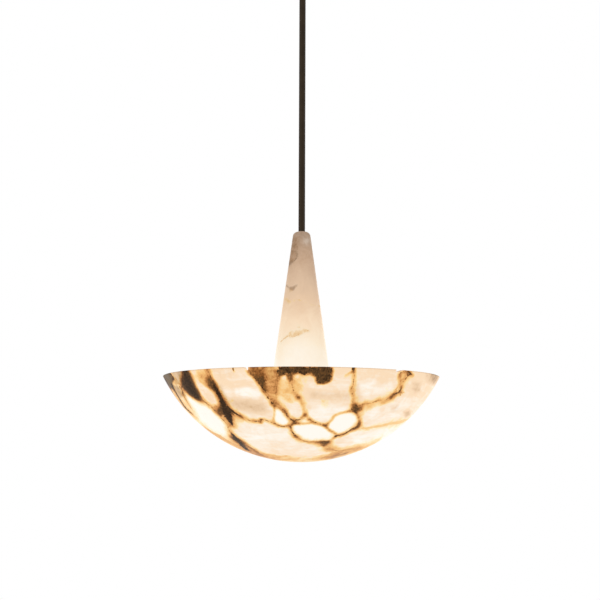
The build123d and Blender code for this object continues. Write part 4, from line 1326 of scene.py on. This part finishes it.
# %% Metals
def metal_finish(name, dark, light, rough_low, rough_high, stretch):
    """A bare metal whose fine brushing runs round the Z axis."""
    mix = Recipe(name)
    squash = mix.stretched(1.0, 1.0, stretch)
    brushing = mix.noise(120.0, 4.0, 0.65, 0.0, squash)
    mix.set(
        Base_Color=mix.ramp(mix.spread(brushing, 0.3, 0.7), stops((0.0, *dark), (1.0, *light))),
        Roughness=mix.spread(mix.noise(90.0, 3.0, 0.6, 0.0, squash), 0.3, 0.7, rough_low, rough_high),
    )
    mix.shader.inputs["Metallic"].default_value = 1.0
    mix.bump(brushing, 0.06, 0.1 * MM)
    return mix.material


ZINC = ((168, 170, 172), (202, 203, 202))
BRASS = ((206, 168, 96), (228, 192, 118))
NICKEL = ((190, 190, 188), (214, 214, 212))
finishes["zinc_steel"] = metal_finish("zinc_plated_steel", *ZINC, 0.3, 0.45, 6.0)
finishes["socket_brass"] = metal_finish("bright_brass", *BRASS, 0.2, 0.35, 3.0)
finishes["lamp_base_metal"] = metal_finish("nickelled_base", *NICKEL, 0.22, 0.34, 8.0)
print(len(finishes), "finishes so far")


# %% Ceramic, plastic and rubber
def coated_finish(name, dark, light, rough_low, rough_high, grain, strength):
    """A body colour with a faint drift of tone and a fine grain."""
    mix = Recipe(name)
    drift = mix.spread(mix.noise(60.0, 4.0), 0.3, 0.7)
    mix.set(
        Base_Color=mix.ramp(drift, stops((0.0, *dark), (1.0, *light))),
        Roughness=mix.spread(mix.noise(140.0, 2.0), 0.3, 0.7, rough_low, rough_high),
    )
    mix.bump(mix.noise(grain, 3.0), strength, 0.1 * MM)
    return mix.material


GREEN = ((22, 92, 44), (32, 116, 58))
BLACK = ((24, 24, 24), (36, 35, 34))
GLAZE = ((224, 219, 207), (236, 232, 222))
PLASTIC = ((226, 225, 220), (238, 237, 233))
finishes["green_screw"] = coated_finish("green_screw_dye", *GREEN, 0.3, 0.42, 600.0, 0.1)
finishes["rubber_gasket"] = coated_finish("black_rubber", *BLACK, 0.65, 0.8, 900.0, 0.3)
finishes["white_ceramic"] = coated_finish("glazed_ceramic", *GLAZE, 0.14, 0.24, 250.0, 0.05)
finishes["lamp_plastic"] = coated_finish("white_lamp_plastic", *PLASTIC, 0.4, 0.52, 700.0, 0.08)
print(len(finishes), "finishes so far")


# %% The frosted globes of the lamps
def globe_finish():
    """A frosted lamp globe that is switched on: warm white, with a faint grain."""
    mix = Recipe("lit_frosted_globe")
    grain = mix.spread(mix.noise(300.0, 3.0), 0.3, 0.7)
    mix.set(
        Base_Color=mix.ramp(grain, stops((0.0, 236, 228, 212), (1.0, 244, 238, 226))),
        Emission_Color=mix.ramp(grain, stops((0.0, 255, 238, 206), (1.0, 255, 243, 216))),
        Emission_Strength=1.6,
        Roughness=mix.spread(mix.noise(200.0, 2.0), 0.3, 0.7, 0.5, 0.65),
    )
    mix.bump(mix.noise(900.0, 2.0), 0.1, 0.05 * MM)
    return mix.material


finishes["frosted_globe"] = globe_finish()
print("made", finishes["frosted_globe"].name)

# %% The finishes go onto the measured parts
for row in frame["record"]["subparts"]:
    if row["material_slot"] in finishes:
        dress(frame["nodes"][row["node"]], finishes[row["material_slot"]])
print(len(finishes), "finishes on the measured parts")

# %% [markdown]
# ## Floor, light and background
# The pendant hangs over a plain pale floor in a white studio. The lamps and the world together give
# about the light at which a colour shows as written. The camera, and mirrors, see the world as white,
# while the stone is lit by a softer grey, so that it doesn't wash out. A lamp is its place, its size
# in metres, its power in watts and its colour.

# %% Floor
FLOOR_DROP = 0.95
FLOOR_SIZE = 2.6
FADE_START = 0.5
FADE_END = FLOOR_SIZE * 0.96
floor_body = bmesh.new()
bmesh.ops.create_circle(floor_body, cap_ends=True, radius=FLOOR_SIZE, segments=96)
bmesh.ops.translate(floor_body, vec=(0, 0, pole_z - FLOOR_DROP), verts=floor_body.verts)
floor = finish_piece(floor_body, "floor")


def floor_finish():
    """Pale and matt in the middle, fading to the white of the background at its edge."""
    mix = Recipe("pale_floor")
    flat = mix.vector("MULTIPLY", mix.place(), (1.0, 1.0, 0.0))
    reach = mix.vector("LENGTH", flat, output="Value")
    edge = mix.spread(reach, FADE_START, FADE_END, smooth=True)
    seen = mix.add("LightPath")
    visible = mix.maths("MAXIMUM", seen.outputs["Is Camera Ray"], seen.outputs["Is Glossy Ray"])
    glow = mix.add("Emission", None, Color=(1, 1, 1, 1))
    mix.join(visible, glow.inputs["Strength"])
    drift = mix.ramp(mix.noise(3.0, 3.0), stops((0.0, 248, 247, 245), (1.0, 252, 251, 249)))
    mix.set(Base_Color=drift, Roughness=0.9)
    both = mix.add("MixShader")
    mix.join(edge, both.inputs[0])
    mix.join(mix.shader.outputs[0], both.inputs[1])
    mix.join(glow.outputs[0], both.inputs[2])
    mix.join(both.outputs[0], mix.tree.nodes["Material Output"].inputs["Surface"])
    return mix.material


dress(floor, floor_finish())
print("floor", round(FLOOR_DROP, 2), "m under the bowl")

# %% World
ROOM_LIGHT = 0.62
world = bpy.data.worlds.new("studio")
bpy.context.scene.world = world
world.use_nodes = True
world_nodes, world_links = world.node_tree.nodes, world.node_tree.links
background = world_nodes["Background"]
background.inputs["Color"].default_value = (1, 1, 1, 1)
path = world_nodes.new("ShaderNodeLightPath")
shown = [path.outputs[name] for name in ("Is Camera Ray", "Is Glossy Ray", "Is Transmission Ray")]
most = shown[0]
for ray_kind in shown[1:]:
    larger = world_nodes.new("ShaderNodeMath")
    larger.operation = "MAXIMUM"
    world_links.new(most, larger.inputs[0])
    world_links.new(ray_kind, larger.inputs[1])
    most = larger.outputs[0]
strength = world_nodes.new("ShaderNodeMapRange")
strength.inputs["To Min"].default_value = ROOM_LIGHT
strength.inputs["To Max"].default_value = 1.0
world_links.new(most, strength.inputs["Value"])
world_links.new(strength.outputs[0], background.inputs["Strength"])
print("room light", ROOM_LIGHT)

# %% Lamps of the studio
STUDIO = {
    "key": ((-1.5, -1.7, -0.1), 1.6, 16.0, (1.0, 0.985, 0.96)),
    "fill": ((1.9, -1.2, -0.6), 1.8, 9.0, (0.97, 0.985, 1.0)),
    "back": ((0.5, 1.9, 0.2), 1.4, 9.0, (1.0, 1.0, 1.0)),
}
aim = Vector((0, 0, rim_z))
for name, (spot, size, power, colour) in STUDIO.items():
    data = bpy.data.lights.new(name, "AREA")
    data.size = size
    data.energy = power
    data.color = colour
    lamp = bpy.data.objects.new(name, data)
    lamp.location = spot
    lamp.rotation_euler = (aim - Vector(spot)).to_track_quat("-Z", "Y").to_euler()
    bpy.context.scene.collection.objects.link(lamp)
    print(name, power, "W")

# %% [markdown]
